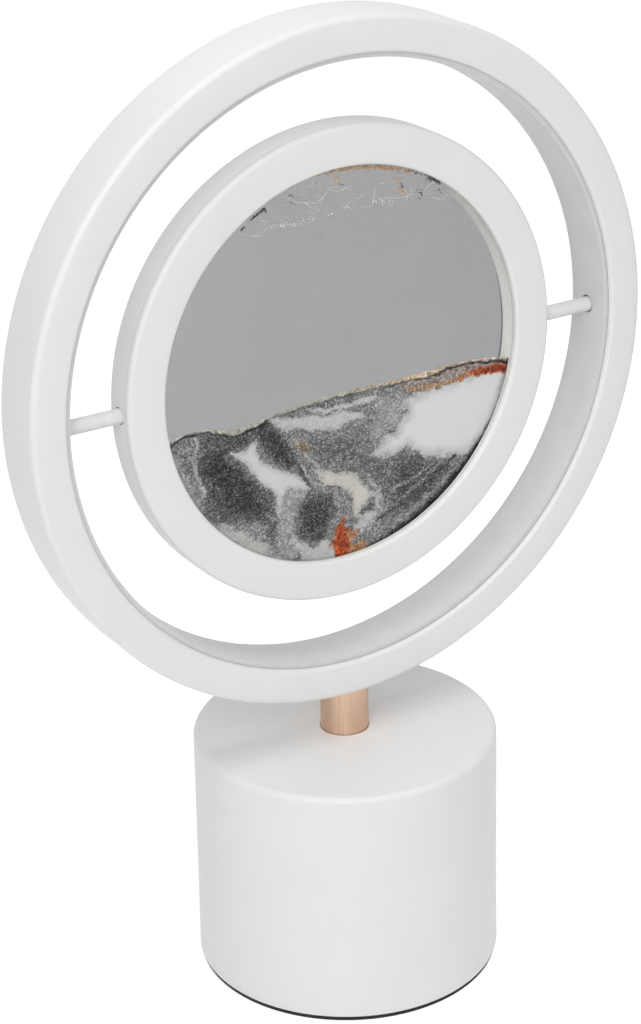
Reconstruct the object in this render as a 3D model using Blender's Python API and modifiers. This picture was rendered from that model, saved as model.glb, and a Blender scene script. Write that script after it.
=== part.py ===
# Moving sand lamp.
# A heavy round base carries a short tube. The tube holds an upright ring with a light band inside it.
# A flat round sand cell in a frame hangs in the ring on two pins and can be turned over.
# Units are metres, +Z is up, the front faces -Y, the origin is the middle of the base's underside.

import math

import bmesh
import bpy
from mathutils import Matrix, Vector

# Driving dimensions: base
BASE_HEIGHT = 0.0819
BASE_TOP_RADIUS = 0.0497
BASE_BOTTOM_RADIUS = 0.0503
BASE_EDGE_ROUND = 0.002
BASE_RIM_ROUND = 0.0004
BASE_WALL = 0.0025
BASE_TOP_THICKNESS = 0.003
FOOT_PAD_THICKNESS = 0.0013
FOOT_PAD_INSET = 0.0016
BASE_PLATE_THICKNESS = 0.0025
WEIGHT_HEIGHT = 0.020

# Driving dimensions: post
POST_VISIBLE_LENGTH = 0.0161
POST_RADIUS = 0.0079
POST_WALL = 0.0016
POST_SEAT_DEPTH = 0.0006
ROD_RADIUS = 0.0049
ROD_BORE_RADIUS = 0.003

# Driving dimensions: ring
RING_OUTER_RADIUS = 0.110
RING_DEPTH = 0.0206
RING_BAND_WIDTH = 0.0117
RING_WALL = 0.0022
RING_FACE_THICKNESS = 0.0016
RING_FRONT_ROUND = 0.002
RING_REAR_ROUND = 0.0012
RING_LIP_ROUND = 0.0013
DIFFUSER_STEP = 0.0021
DIFFUSER_WALL = 0.0018
DIFFUSER_CROWN = 0.0005

# Driving dimensions: sand frame
FRAME_RING_GAP = 0.01975
FRAME_BAND_WIDTH = 0.01275
FRAME_DEPTH = 0.012
FRAME_WALL = 0.00225
FRAME_FACE_THICKNESS = 0.00185
FRAME_OUTER_ROUND = 0.0015
FRAME_WINDOW_ROUND = 0.0011
GLASS_THICKNESS = 0.0018
GLASS_OVERLAP = 0.0051
SPACER_SETBACK = 0.0006
PIN_RADIUS = 0.0024

# Shared clearances
GAP = 0.0003
OVERRUN = 0.004

# Counts of facets round the turned pieces
RING_FACETS = 64
FRAME_FACETS = 64
BASE_FACETS = 56
HIDDEN_FACETS = 40
ROD_FACETS = 20
SMALL_FACETS = 14
TINY_FACETS = 10
ROUND_STEPS = 3

# Places that several pieces share, worked out from the driving dimensions
RIM_BOTTOM = FOOT_PAD_THICKNESS + GAP
RING_BOTTOM = BASE_HEIGHT + POST_VISIBLE_LENGTH
RING_CENTRE = Vector((0.0, 0.0, RING_BOTTOM + RING_OUTER_RADIUS))
LIP_RADIUS = RING_OUTER_RADIUS - RING_BAND_WIDTH
DIFFUSER_RADIUS = LIP_RADIUS - DIFFUSER_STEP
CHANNEL_INNER_RADIUS = DIFFUSER_RADIUS + DIFFUSER_WALL
CHANNEL_OUTER_RADIUS = RING_OUTER_RADIUS - RING_WALL
RING_HALF = RING_DEPTH / 2
CHANNEL_HALF = RING_HALF - RING_FACE_THICKNESS
FRAME_RADIUS = DIFFUSER_RADIUS - FRAME_RING_GAP
WINDOW_RADIUS = FRAME_RADIUS - FRAME_BAND_WIDTH
FRAME_HALF = FRAME_DEPTH / 2
GLASS_RADIUS = WINDOW_RADIUS + GLASS_OVERLAP
GLASS_FRONT = FRAME_HALF - FRAME_FACE_THICKNESS - GAP
CELL_HALF = GLASS_FRONT - GLASS_THICKNESS - GAP
CELL_RADIUS = WINDOW_RADIUS + SPACER_SETBACK - GAP

# Turns a piece whose own axis is local Z so that the axis lies along world Y, or along world X
ALONG_Y = Matrix.Rotation(-math.pi / 2, 4, "X")
ALONG_X = Matrix.Rotation(math.pi / 2, 4, "Y")
FLAT_TO_FRONT = Matrix.Rotation(math.pi / 2, 4, "X")

for old in list(bpy.data.objects):
    bpy.data.objects.remove(old, do_unlink=True)

PARTS = bpy.data.collections.new("moving_sand_lamp")
CUTTERS = bpy.data.collections.new("moving_sand_lamp_cutters")
bpy.context.scene.collection.children.link(PARTS)
bpy.context.scene.collection.children.link(CUTTERS)


# Materials

def plain_material(name, colour, roughness, metallic=0.0, alpha=1.0):
    """A Principled material with one colour."""
    made = bpy.data.materials.new(name)
    made.use_nodes = True
    shader = made.node_tree.nodes["Principled BSDF"]
    shader.inputs["Base Color"].default_value = (*colour, 1.0)
    shader.inputs["Roughness"].default_value = roughness
    shader.inputs["Metallic"].default_value = metallic
    shader.inputs["Alpha"].default_value = alpha
    made.diffuse_color = (*colour, alpha)
    return made


WHITE_ABS = plain_material("white_abs", (0.80, 0.80, 0.80), 0.45)
WHITE_PIN = plain_material("white_acetal", (0.78, 0.78, 0.78), 0.40)
OPAL = plain_material("opal_polycarbonate", (0.76, 0.76, 0.75), 0.55)
BLACK_FOAM = plain_material("black_foam", (0.03, 0.03, 0.03), 0.90)
ROSE_GOLD = plain_material("rose_gold_anodised", (0.76, 0.53, 0.42), 0.30, 1.0)
CAST_IRON = plain_material("cast_iron", (0.10, 0.10, 0.11), 0.70, 0.8)
STEEL = plain_material("zinc_plated_steel", (0.62, 0.62, 0.64), 0.35, 1.0)
BOARD_GREEN = plain_material("circuit_board", (0.02, 0.16, 0.07), 0.50)
BLACK_NYLON = plain_material("black_nylon", (0.03, 0.03, 0.03), 0.50)
LEAD_WHITE = plain_material("white_pvc_lead", (0.70, 0.70, 0.68), 0.50)
STRIP_WHITE = plain_material("led_strip_white", (0.75, 0.74, 0.62), 0.50)
CLEAR_GLASS = plain_material("clear_glass", (0.80, 0.84, 0.83), 0.03, 0.0, 0.25)
SEAL_WHITE = plain_material("white_silicone", (0.66, 0.68, 0.66), 0.50)
SAND_GREY = plain_material("dark_sand", (0.09, 0.09, 0.09), 0.90)
LIQUID_GREY = plain_material("grey_liquid", (0.38, 0.39, 0.39), 0.05, 0.0, 0.6)


# Shape tools

def link(name, mesh, material, collection=PARTS):
    """An object for a mesh, in a collection, with its material."""
    made = bpy.data.objects.new(name, mesh)
    collection.objects.link(made)
    if material is not None:
        made.data.materials.append(material)
    if collection is CUTTERS:
        made.hide_render = True
        made.display_type = "WIRE"
    return made


def rounded(corners, steps=ROUND_STEPS):
    """Points of an outline whose corners are (x, z) or (x, z, radius of the rounding)."""
    points = []
    count = len(corners)
    for index, corner in enumerate(corners):
        here = Vector(corner[:2])
        radius = corner[2] if len(corner) > 2 else 0.0
        if radius == 0.0:
            points.append(here)
            continue
        before = (Vector(corners[index - 1][:2]) - here).normalized()
        after = (Vector(corners[(index + 1) % count][:2]) - here).normalized()
        half_angle = before.angle(after) / 2
        tangent = radius / math.tan(half_angle)
        middle = here + (before + after).normalized() * (radius / math.sin(half_angle))
        start = here + before * tangent - middle
        end = here + after * tangent - middle
        sweep = start.angle_signed(end)
        for step in range(steps + 1):
            turn = -sweep * step / steps
            points.append(middle + Matrix.Rotation(turn, 2) @ start)
    return points


def turned(name, corners, facets, material, place=Matrix(), collection=PARTS, closed=True, steps=2):
    """A turned piece: a profile at +X, which runs down its outer side, and a Screw modifier."""
    points = rounded(corners, steps)
    mesh = bpy.data.meshes.new(name)
    edges = [(i, i + 1) for i in range(len(points) - 1)]
    if closed:
        edges.append((len(points) - 1, 0))
    mesh.from_pydata([(p[0], 0.0, p[1]) for p in points], edges, [])
    made = link(name, mesh, material, collection)
    screw = made.modifiers.new("turn", "SCREW")
    screw.steps = facets
    screw.render_steps = facets
    screw.use_merge_vertices = True
    screw.merge_threshold = 0.00001
    screw.use_smooth_shade = False
    made.matrix_world = place
    return made


def plate(name, radius, low, high, facets, material, place=Matrix(), collection=PARTS, edge=0.0):
    """A solid disc or plain cylinder between two heights, with its edges rounded if wanted."""
    profile = [(0.0, high), (radius, high, edge), (radius, low, edge), (0.0, low)]
    return turned(name, profile, facets, material, place, collection, closed=False, steps=1)


def tube(name, outer, inner, low, high, facets, material, place=Matrix(), collection=PARTS, edge=0.0):
    """A tube or washer between two heights."""
    profile = [(outer, high, edge), (outer, low, edge), (inner, low), (inner, high)]
    return turned(name, profile, facets, material, place, collection, steps=1)


def box(name, low, high, material=None, place=Matrix(), collection=CUTTERS, edge=0.0):
    """A box between two corners, with rounded edges along local Y if wanted."""
    shape = bmesh.new()
    bmesh.ops.create_cube(shape, size=1.0)
    size = Matrix.Diagonal((*(Vector(high) - Vector(low)), 1.0))
    middle = Matrix.Translation((Vector(high) + Vector(low)) / 2)
    bmesh.ops.transform(shape, matrix=middle @ size, verts=shape.verts)
    if edge > 0.0:
        along = [e for e in shape.edges if abs((e.verts[0].co - e.verts[1].co).normalized().y) > 0.5]
        bmesh.ops.bevel(shape, geom=along, offset=edge, segments=ROUND_STEPS, affect="EDGES", profile=0.5)
    mesh = bpy.data.meshes.new(name)
    shape.to_mesh(mesh)
    shape.free()
    made = link(name, mesh, material, collection)
    made.matrix_world = place
    return made


def boolean(target, operation, *operands):
    """Adds one Boolean modifier for each operand."""
    for operand in operands:
        modifier = target.modifiers.new(operation.lower(), "BOOLEAN")
        modifier.operation = operation
        modifier.solver = "EXACT"
        modifier.object = operand


def at(x, y, z):
    """A plain move, as a matrix."""
    return Matrix.Translation((x, y, z))


def round_the_ring(angle, radius, depth=0.0):
    """A place on the ring at an angle from +X towards +Z, with local Z along world Y."""
    x = math.cos(angle) * radius
    z = math.sin(angle) * radius
    return Matrix.Translation(RING_CENTRE) @ at(x, depth, z) @ ALONG_Y


RECESS_LENGTH_SHARE = 0.55
RECESS_WIDTH_SHARE = 0.14
RECESS_DEPTH_SHARE = 0.7


def countersunk_screw(name, head_radius, shank_radius, length, place, material=STEEL):
    """A countersunk screw with its head at the top of local Z, and a cross recess in the head."""
    cone = head_radius - shank_radius
    profile = [
        (0.0, 0.0),
        (head_radius, 0.0),
        (shank_radius, -cone),
        (shank_radius, -length + shank_radius),
        (0.0, -length),
    ]
    screw = turned(name, profile, TINY_FACETS, material, place, closed=False)
    arm = head_radius * RECESS_LENGTH_SHARE
    width = head_radius * RECESS_WIDTH_SHARE
    deep = cone * RECESS_DEPTH_SHARE
    for number, (x, y) in enumerate(((arm, width), (width, arm))):
        slot = box(f"{name}_recess_{number}", (-x, -y, -deep), (x, y, OVERRUN), place=place)
        boolean(screw, "DIFFERENCE", slot)
    return screw


def countersunk_hole(name, head_radius, shank_radius, depth, place):
    """The hole for a countersunk screw, as a cutter that runs on past both faces."""
    wide = head_radius + GAP
    narrow = shank_radius + GAP
    profile = [
        (0.0, OVERRUN),
        (wide, OVERRUN),
        (wide, 0.0),
        (narrow, narrow - wide),
        (narrow, -depth),
        (0.0, -depth),
    ]
    return turned(name, profile, TINY_FACETS, None, place, CUTTERS, closed=False)


# Foot pad, glued under the base plate
foot_pad = plate(
    "foot_pad", BASE_BOTTOM_RADIUS - FOOT_PAD_INSET, 0.0, FOOT_PAD_THICKNESS, BASE_FACETS, BLACK_FOAM
)

# Base shell: one moulded cup, open below, with screw bosses, a socket panel and two board bosses
PLATE_TOP = RIM_BOTTOM + BASE_PLATE_THICKNESS
BASE_CEILING = BASE_HEIGHT - BASE_TOP_THICKNESS
DRAFT_PER_HEIGHT = (BASE_BOTTOM_RADIUS - BASE_TOP_RADIUS) / (BASE_HEIGHT - RIM_BOTTOM)
BASE_INNER_RADIUS = BASE_BOTTOM_RADIUS - BASE_WALL - DRAFT_PER_HEIGHT * BASE_PLATE_THICKNESS
ROD_HOLE_RADIUS = ROD_RADIUS + GAP
PLATE_SCREW_HEAD = 0.0026
PLATE_SCREW_SHANK = 0.0014
PLATE_SCREW_LENGTH = 0.013
PLATE_SCREW_MARGIN = 0.0012
PLATE_BOSS_HEIGHT = 0.022
BOSS_IN_WALL_SHARE = 0.25
PLATE_BOSS_RADIUS = PLATE_SCREW_HEAD + PLATE_SCREW_MARGIN + BASE_WALL * BOSS_IN_WALL_SHARE
PLATE_BOSS_PLACE = BASE_INNER_RADIUS - PLATE_SCREW_HEAD - PLATE_SCREW_MARGIN
PLATE_SCREW_ANGLES = [math.radians(a) for a in (30, 150, 270)]

base_shell = turned(
    "base_shell",
    [
        (ROD_HOLE_RADIUS, BASE_HEIGHT),
        (BASE_TOP_RADIUS, BASE_HEIGHT, BASE_EDGE_ROUND),
        (BASE_BOTTOM_RADIUS, RIM_BOTTOM, BASE_RIM_ROUND),
        (BASE_BOTTOM_RADIUS - BASE_WALL, RIM_BOTTOM),
        (BASE_TOP_RADIUS - BASE_WALL, BASE_CEILING),
        (ROD_HOLE_RADIUS, BASE_CEILING),
    ],
    BASE_FACETS,
    WHITE_ABS,
)
post_seat = plate(
    "post_seat", POST_RADIUS + GAP, BASE_HEIGHT - POST_SEAT_DEPTH, BASE_HEIGHT + OVERRUN,
    SMALL_FACETS * 2, None, collection=CUTTERS,
)
boolean(base_shell, "DIFFERENCE", post_seat)
wall_middle = turned(
    "base_wall_middle",
    [
        (0.0, BASE_HEIGHT),
        (BASE_TOP_RADIUS - BASE_WALL / 2, BASE_HEIGHT),
        (BASE_BOTTOM_RADIUS - BASE_WALL / 2, RIM_BOTTOM),
        (0.0, RIM_BOTTOM),
    ],
    BASE_FACETS,
    None,
    collection=CUTTERS,
    closed=False,
)

plate_places = []
for screw_angle in PLATE_SCREW_ANGLES:
    boss_x = math.cos(screw_angle) * PLATE_BOSS_PLACE
    boss_y = math.sin(screw_angle) * PLATE_BOSS_PLACE
    plate_places.append(at(boss_x, boss_y, RIM_BOTTOM) @ Matrix.Rotation(math.pi, 4, "X"))
for number, place in enumerate(plate_places, start=1):
    boss_foot = BASE_PLATE_THICKNESS + GAP
    boss = plate(
        f"plate_boss_{number}", PLATE_BOSS_RADIUS, -boss_foot - PLATE_BOSS_HEIGHT, -boss_foot,
        SMALL_FACETS, None, place, CUTTERS,
    )
    pilot = plate(
        f"plate_pilot_{number}", PLATE_SCREW_SHANK + GAP, -PLATE_SCREW_LENGTH - GAP, 0.0,
        TINY_FACETS, None, place, CUTTERS,
    )
    boolean(boss, "INTERSECT", wall_middle)
    boolean(base_shell, "UNION", boss)
    boolean(base_shell, "DIFFERENCE", pilot)

# Socket panel: a flat pocket in the back of the shell, with a thicker wall behind it
POCKET_HALF_WIDTH = 0.016
POCKET_HEIGHT = 0.019
POCKET_MIDDLE_HEIGHT = 0.047
POCKET_DEPTH = 0.0033
POCKET_CORNER = 0.003
PANEL_WALL = 0.0026
PANEL_MARGIN = 0.0024
SOCKET_OFFSET = 0.0078
BOARD_STANDOFF = 0.0078
BOARD_THICKNESS = 0.0016
BOARD_HALF_WIDTH = 0.0235
BOARD_HEIGHT = 0.026
BOARD_BOSS_RADIUS = 0.003
BOARD_SCREW_INSET = 0.0035
BOARD_SCREW_HEAD = 0.0022
BOARD_SCREW_SHANK = 0.0011
BOARD_SCREW_LENGTH = 0.007
pocket_share = (POCKET_MIDDLE_HEIGHT - RIM_BOTTOM) / (BASE_HEIGHT - RIM_BOTTOM)
POCKET_WALL_RADIUS = BASE_BOTTOM_RADIUS + (BASE_TOP_RADIUS - BASE_BOTTOM_RADIUS) * pocket_share
POCKET_FLOOR = POCKET_WALL_RADIUS - POCKET_DEPTH
PANEL_INSIDE = POCKET_FLOOR - PANEL_WALL
BOARD_BACK = PANEL_INSIDE - BOARD_STANDOFF
POCKET_LOW = POCKET_MIDDLE_HEIGHT - POCKET_HEIGHT / 2
POCKET_HIGH = POCKET_MIDDLE_HEIGHT + POCKET_HEIGHT / 2

panel = box(
    "socket_panel",
    (-POCKET_HALF_WIDTH - PANEL_MARGIN, PANEL_INSIDE, POCKET_LOW - PANEL_MARGIN),
    (POCKET_HALF_WIDTH + PANEL_MARGIN, POCKET_WALL_RADIUS + OVERRUN, POCKET_HIGH + PANEL_MARGIN),
)
boolean(panel, "INTERSECT", wall_middle)
pocket = box(
    "socket_pocket",
    (-POCKET_HALF_WIDTH, POCKET_FLOOR, POCKET_LOW),
    (POCKET_HALF_WIDTH, POCKET_WALL_RADIUS + OVERRUN, POCKET_HIGH),
    edge=POCKET_CORNER,
)
boolean(base_shell, "UNION", panel)

BOARD_SCREW_PLACE = BOARD_HALF_WIDTH - BOARD_SCREW_INSET
BOARD_BOSS_END = math.sqrt((POCKET_WALL_RADIUS - BASE_WALL / 2) ** 2 - BOARD_SCREW_PLACE ** 2)
board_places = []
for side in (-1, 1):
    board_places.append(at(side * BOARD_SCREW_PLACE, BOARD_BACK, POCKET_MIDDLE_HEIGHT) @ ALONG_Y)
for number, place in enumerate(board_places, start=1):
    board_boss = plate(
        f"board_boss_{number}", BOARD_BOSS_RADIUS, GAP, BOARD_BOSS_END - BOARD_BACK, TINY_FACETS, None,
        place, CUTTERS,
    )
    boolean(board_boss, "INTERSECT", wall_middle)
    board_pilot = plate(
        f"board_pilot_{number}", BOARD_SCREW_SHANK + GAP, -OVERRUN, BOARD_SCREW_LENGTH - BOARD_THICKNESS,
        TINY_FACETS, None, place, CUTTERS,
    )
    boolean(base_shell, "UNION", board_boss)
    boolean(base_shell, "DIFFERENCE", board_pilot)

# Power inlet: a small rounded metal shell with a contact tongue, soldered upright on the board
INLET_HALF_WIDTH = 0.0045
INLET_HALF_HEIGHT = 0.0016
INLET_WALL = 0.0003
INLET_CAVITY_DEPTH = 0.0065
INLET_SETBACK = 0.0003
TONGUE_HALF_WIDTH = 0.0033
TONGUE_HALF_HEIGHT = 0.00035
TONGUE_SETBACK = 0.0012
INLET_PLACE = at(-SOCKET_OFFSET, BOARD_BACK, POCKET_MIDDLE_HEIGHT)
INLET_LENGTH = POCKET_FLOOR - BOARD_BACK - INLET_SETBACK


def stadium(name, half_width, half_height, low, high, material, place, collection=CUTTERS):
    """A bar with round ends, along local Y from low to high."""
    straight = half_width - half_height
    outline = []
    for side in (1, -1):
        for step in range(ROUND_STEPS * 2 + 1):
            turn = side * (math.pi / 2) - math.pi * step / (ROUND_STEPS * 2)
            x = side * straight + math.cos(turn) * half_height
            outline.append((x, math.sin(turn) * half_height))
    shape = bmesh.new()
    front = [shape.verts.new((x, low, z)) for x, z in outline]
    face = shape.faces.new(front)
    pushed = bmesh.ops.extrude_face_region(shape, geom=[face])
    moved = [item for item in pushed["geom"] if isinstance(item, bmesh.types.BMVert)]
    bmesh.ops.translate(shape, vec=(0.0, high - low, 0.0), verts=moved)
    bmesh.ops.recalc_face_normals(shape, faces=shape.faces)
    mesh = bpy.data.meshes.new(name)
    shape.to_mesh(mesh)
    shape.free()
    made = link(name, mesh, material, collection)
    made.matrix_world = place
    return made


power_inlet = stadium(
    "power_inlet", INLET_HALF_WIDTH, INLET_HALF_HEIGHT, GAP, INLET_LENGTH, STEEL, INLET_PLACE, PARTS
)
inlet_cavity = stadium(
    "inlet_cavity", INLET_HALF_WIDTH - INLET_WALL, INLET_HALF_HEIGHT - INLET_WALL,
    INLET_LENGTH - INLET_CAVITY_DEPTH, INLET_LENGTH + OVERRUN, None, INLET_PLACE,
)
inlet_tongue = box(
    "inlet_tongue",
    (-TONGUE_HALF_WIDTH, INLET_LENGTH - INLET_CAVITY_DEPTH - GAP, -TONGUE_HALF_HEIGHT),
    (TONGUE_HALF_WIDTH, INLET_LENGTH - TONGUE_SETBACK, TONGUE_HALF_HEIGHT),
    place=INLET_PLACE,
)
boolean(power_inlet, "DIFFERENCE", inlet_cavity)
boolean(power_inlet, "UNION", inlet_tongue)
inlet_hole = stadium(
    "inlet_hole", INLET_HALF_WIDTH + GAP, INLET_HALF_HEIGHT + GAP, PANEL_INSIDE - BOARD_BACK - OVERRUN / 2,
    POCKET_FLOOR - BOARD_BACK + OVERRUN, None, INLET_PLACE,
)

# Power button: a round cap with a flange behind the panel, pressed in against the switch
BUTTON_RADIUS = 0.0047
BUTTON_PROUD = 0.0014
BUTTON_FLANGE_RADIUS = 0.0062
BUTTON_FLANGE_THICKNESS = 0.0012
BUTTON_EDGE_ROUND = 0.0005
BUTTON_STEM_RADIUS = 0.0019
BUTTON_TRAVEL = 0.001
SWITCH_HALF_WIDTH = 0.003
SWITCH_HEIGHT = 0.0036
SWITCH_FLOOR = 0.0006
PLUNGER_RADIUS = 0.0016
PLUNGER_SETBACK = 0.0007
BUTTON_PLACE = Matrix.Translation((SOCKET_OFFSET, BOARD_BACK, POCKET_MIDDLE_HEIGHT))
CAP_FACE = POCKET_FLOOR + BUTTON_PROUD - BOARD_BACK
FLANGE_BACK = PANEL_INSIDE - GAP - BOARD_BACK
FLANGE_FRONT = FLANGE_BACK - BUTTON_FLANGE_THICKNESS
SWITCH_TOP = GAP + SWITCH_HEIGHT
PLUNGER_LOW = GAP + SWITCH_FLOOR + GAP + BUTTON_TRAVEL
STEM_LOW = SWITCH_TOP + GAP + BUTTON_TRAVEL

button_slide = bpy.data.objects.new("button_slide", None)
PARTS.objects.link(button_slide)
button_slide.matrix_world = BUTTON_PLACE
bpy.context.view_layer.update()

power_button = turned(
    "power_button",
    [
        (0.0, CAP_FACE),
        (BUTTON_RADIUS, CAP_FACE, BUTTON_EDGE_ROUND),
        (BUTTON_RADIUS, FLANGE_BACK),
        (BUTTON_FLANGE_RADIUS, FLANGE_BACK),
        (BUTTON_FLANGE_RADIUS, FLANGE_FRONT),
        (BUTTON_STEM_RADIUS, FLANGE_FRONT),
        (BUTTON_STEM_RADIUS, STEM_LOW + GAP),
        (0.0, STEM_LOW + GAP),
    ],
    ROD_FACETS,
    BLACK_NYLON,
    closed=False,
)
switch_plunger = plate("switch_plunger", PLUNGER_RADIUS, PLUNGER_LOW, STEM_LOW, TINY_FACETS, BLACK_NYLON)
for moving in (power_button, switch_plunger):
    moving.parent = button_slide
    moving.matrix_local = ALONG_Y
tact_switch = box(
    "tact_switch",
    (-SWITCH_HALF_WIDTH, GAP, -SWITCH_HALF_WIDTH),
    (SWITCH_HALF_WIDTH, SWITCH_TOP, SWITCH_HALF_WIDTH),
    STEEL, BUTTON_PLACE, PARTS,
)
switch_bore = plate(
    "switch_bore", PLUNGER_RADIUS + GAP, GAP + SWITCH_FLOOR, SWITCH_TOP + OVERRUN, TINY_FACETS, None,
    BUTTON_PLACE @ ALONG_Y, CUTTERS,
)
boolean(tact_switch, "DIFFERENCE", switch_bore)
button_hole = plate(
    "button_hole", BUTTON_RADIUS + GAP, FLANGE_BACK - GAP, CAP_FACE + OVERRUN, ROD_FACETS, None,
    BUTTON_PLACE @ ALONG_Y, CUTTERS,
)
boolean(base_shell, "DIFFERENCE", pocket, inlet_hole, button_hole)

# Driver board with its soldered parts, upright behind the panel, held by two screws from inside
COIL_RADIUS = 0.0045
COIL_HEIGHT = 0.0042
CHIP_SIZE = 0.005
CHIP_HEIGHT = 0.0014
CAN_RADIUS = 0.0025
CAN_HEIGHT = 0.0062
PLUG_HALF_WIDTH = 0.0035
PLUG_DEPTH = 0.0045
PLUG_HEIGHT = 0.0055
COIL_PLACE_SHARES = (-0.38, 0.22)
CHIP_PLACE_SHARES = (0.1, -0.18)
CAN_PLACE_SHARES = (0.42, 0.22)
BOARD_FACE = BOARD_BACK - BOARD_THICKNESS
BOARD_LOW = POCKET_MIDDLE_HEIGHT - BOARD_HEIGHT / 2
BOARD_HIGH = POCKET_MIDDLE_HEIGHT + BOARD_HEIGHT / 2


def on_board(shares):
    """A place on the board's inner face, as shares of its half width and its height."""
    across = BOARD_HALF_WIDTH * shares[0]
    up = BOARD_HEIGHT * shares[1]
    return at(across, BOARD_FACE, POCKET_MIDDLE_HEIGHT + up) @ ALONG_Y


driver_board = box(
    "driver_board",
    (-BOARD_HALF_WIDTH, BOARD_FACE, BOARD_LOW),
    (BOARD_HALF_WIDTH, BOARD_BACK, BOARD_HIGH),
    BOARD_GREEN, Matrix(), PARTS,
)
coil_place = on_board(COIL_PLACE_SHARES)
can_place = on_board(CAN_PLACE_SHARES)
coil = plate("board_coil", COIL_RADIUS, -COIL_HEIGHT, GAP, TINY_FACETS, None, coil_place, CUTTERS)
can = plate("board_can", CAN_RADIUS, -CAN_HEIGHT, GAP, TINY_FACETS, None, can_place, CUTTERS)
chip = box(
    "board_chip", (-CHIP_SIZE / 2, -CHIP_SIZE / 2, -CHIP_HEIGHT), (CHIP_SIZE / 2, CHIP_SIZE / 2, GAP),
    place=on_board(CHIP_PLACE_SHARES),
)
lead_plug = box(
    "board_lead_plug",
    (-PLUG_HALF_WIDTH, BOARD_FACE - PLUG_DEPTH, BOARD_HIGH - PLUG_HEIGHT),
    (PLUG_HALF_WIDTH, BOARD_FACE + GAP, BOARD_HIGH - GAP),
)
boolean(driver_board, "UNION", coil, can, chip, lead_plug)
for number, place in enumerate(board_places, start=1):
    board_hole = plate(
        f"board_hole_{number}", BOARD_SCREW_SHANK + GAP, -BOARD_THICKNESS - OVERRUN / 4, OVERRUN / 4,
        TINY_FACETS, None, place, CUTTERS,
    )
    boolean(driver_board, "DIFFERENCE", board_hole)
    head_low = -BOARD_THICKNESS - GAP
    turned(
        f"board_screw_{number}",
        [
            (0.0, BOARD_SCREW_LENGTH - BOARD_THICKNESS - GAP),
            (BOARD_SCREW_SHANK, BOARD_SCREW_LENGTH - BOARD_THICKNESS - BOARD_SCREW_SHANK),
            (BOARD_SCREW_SHANK, head_low),
            (BOARD_SCREW_HEAD, head_low),
            (BOARD_SCREW_HEAD, head_low - BOARD_SCREW_SHANK),
            (0.0, head_low - BOARD_SCREW_SHANK),
        ],
        TINY_FACETS, STEEL, place, closed=False,
    )

# Base plate and the screws that hold it
WEIGHT_SCREW_HEAD = 0.0046
WEIGHT_SCREW_SHANK = 0.0024
WEIGHT_SCREW_LENGTH = 0.016
base_plate = plate(
    "base_plate", BASE_INNER_RADIUS - GAP, RIM_BOTTOM, PLATE_TOP, BASE_FACETS, BLACK_NYLON
)
for number, place in enumerate(plate_places, start=1):
    hole = countersunk_hole(
        f"plate_hole_{number}", PLATE_SCREW_HEAD, PLATE_SCREW_SHANK, BASE_PLATE_THICKNESS + OVERRUN, place
    )
    boolean(base_plate, "DIFFERENCE", hole)
    countersunk_screw(f"base_screw_{number}", PLATE_SCREW_HEAD, PLATE_SCREW_SHANK, PLATE_SCREW_LENGTH, place)
weight_place = at(0.0, 0.0, RIM_BOTTOM) @ Matrix.Rotation(math.pi, 4, "X")
weight_hole = countersunk_hole(
    "weight_screw_hole", WEIGHT_SCREW_HEAD, WEIGHT_SCREW_SHANK, BASE_PLATE_THICKNESS + OVERRUN, weight_place
)
boolean(base_plate, "DIFFERENCE", weight_hole)
countersunk_screw("weight_screw", WEIGHT_SCREW_HEAD, WEIGHT_SCREW_SHANK, WEIGHT_SCREW_LENGTH, weight_place)

# Base weight: a cast disc that stands on the plate, between the shell's bosses
WEIGHT_CLEARANCE = 0.0007
WEIGHT_EDGE_ROUND = 0.0012
WEIGHT_LOW = PLATE_TOP + GAP
tube(
    "base_weight", PLATE_BOSS_PLACE - PLATE_BOSS_RADIUS - WEIGHT_CLEARANCE, WEIGHT_SCREW_SHANK + GAP,
    WEIGHT_LOW, WEIGHT_LOW + WEIGHT_HEIGHT, HIDDEN_FACETS, CAST_IRON, edge=WEIGHT_EDGE_ROUND,
)

# Hollow threaded rod, with a nut and a washer below the base's top and above the ring's floor
WASHER_RADIUS = 0.0085
WASHER_THICKNESS = 0.001
NUT_RADIUS = 0.0081
NUT_SIDES = 6
LOW_NUT_HEIGHT = 0.005
HIGH_NUT_HEIGHT = 0.0034
ROD_PROUD = 0.0004
ROD_END_ROUND = 0.0004
LAND_HALF_WIDTH = 0.0098
LAND_HALF_DEPTH = 0.0084
LAND_THICKNESS = 0.0008
LAND_TOP = RING_BOTTOM + RING_WALL + LAND_THICKNESS
LOW_WASHER_TOP = BASE_CEILING - GAP
LOW_NUT_TOP = LOW_WASHER_TOP - WASHER_THICKNESS - GAP
HIGH_WASHER_LOW = LAND_TOP + GAP
HIGH_NUT_LOW = HIGH_WASHER_LOW + WASHER_THICKNESS + GAP
ROD_LOW = LOW_NUT_TOP - LOW_NUT_HEIGHT - ROD_PROUD * 3
ROD_HIGH = HIGH_NUT_LOW + HIGH_NUT_HEIGHT + ROD_PROUD

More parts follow.
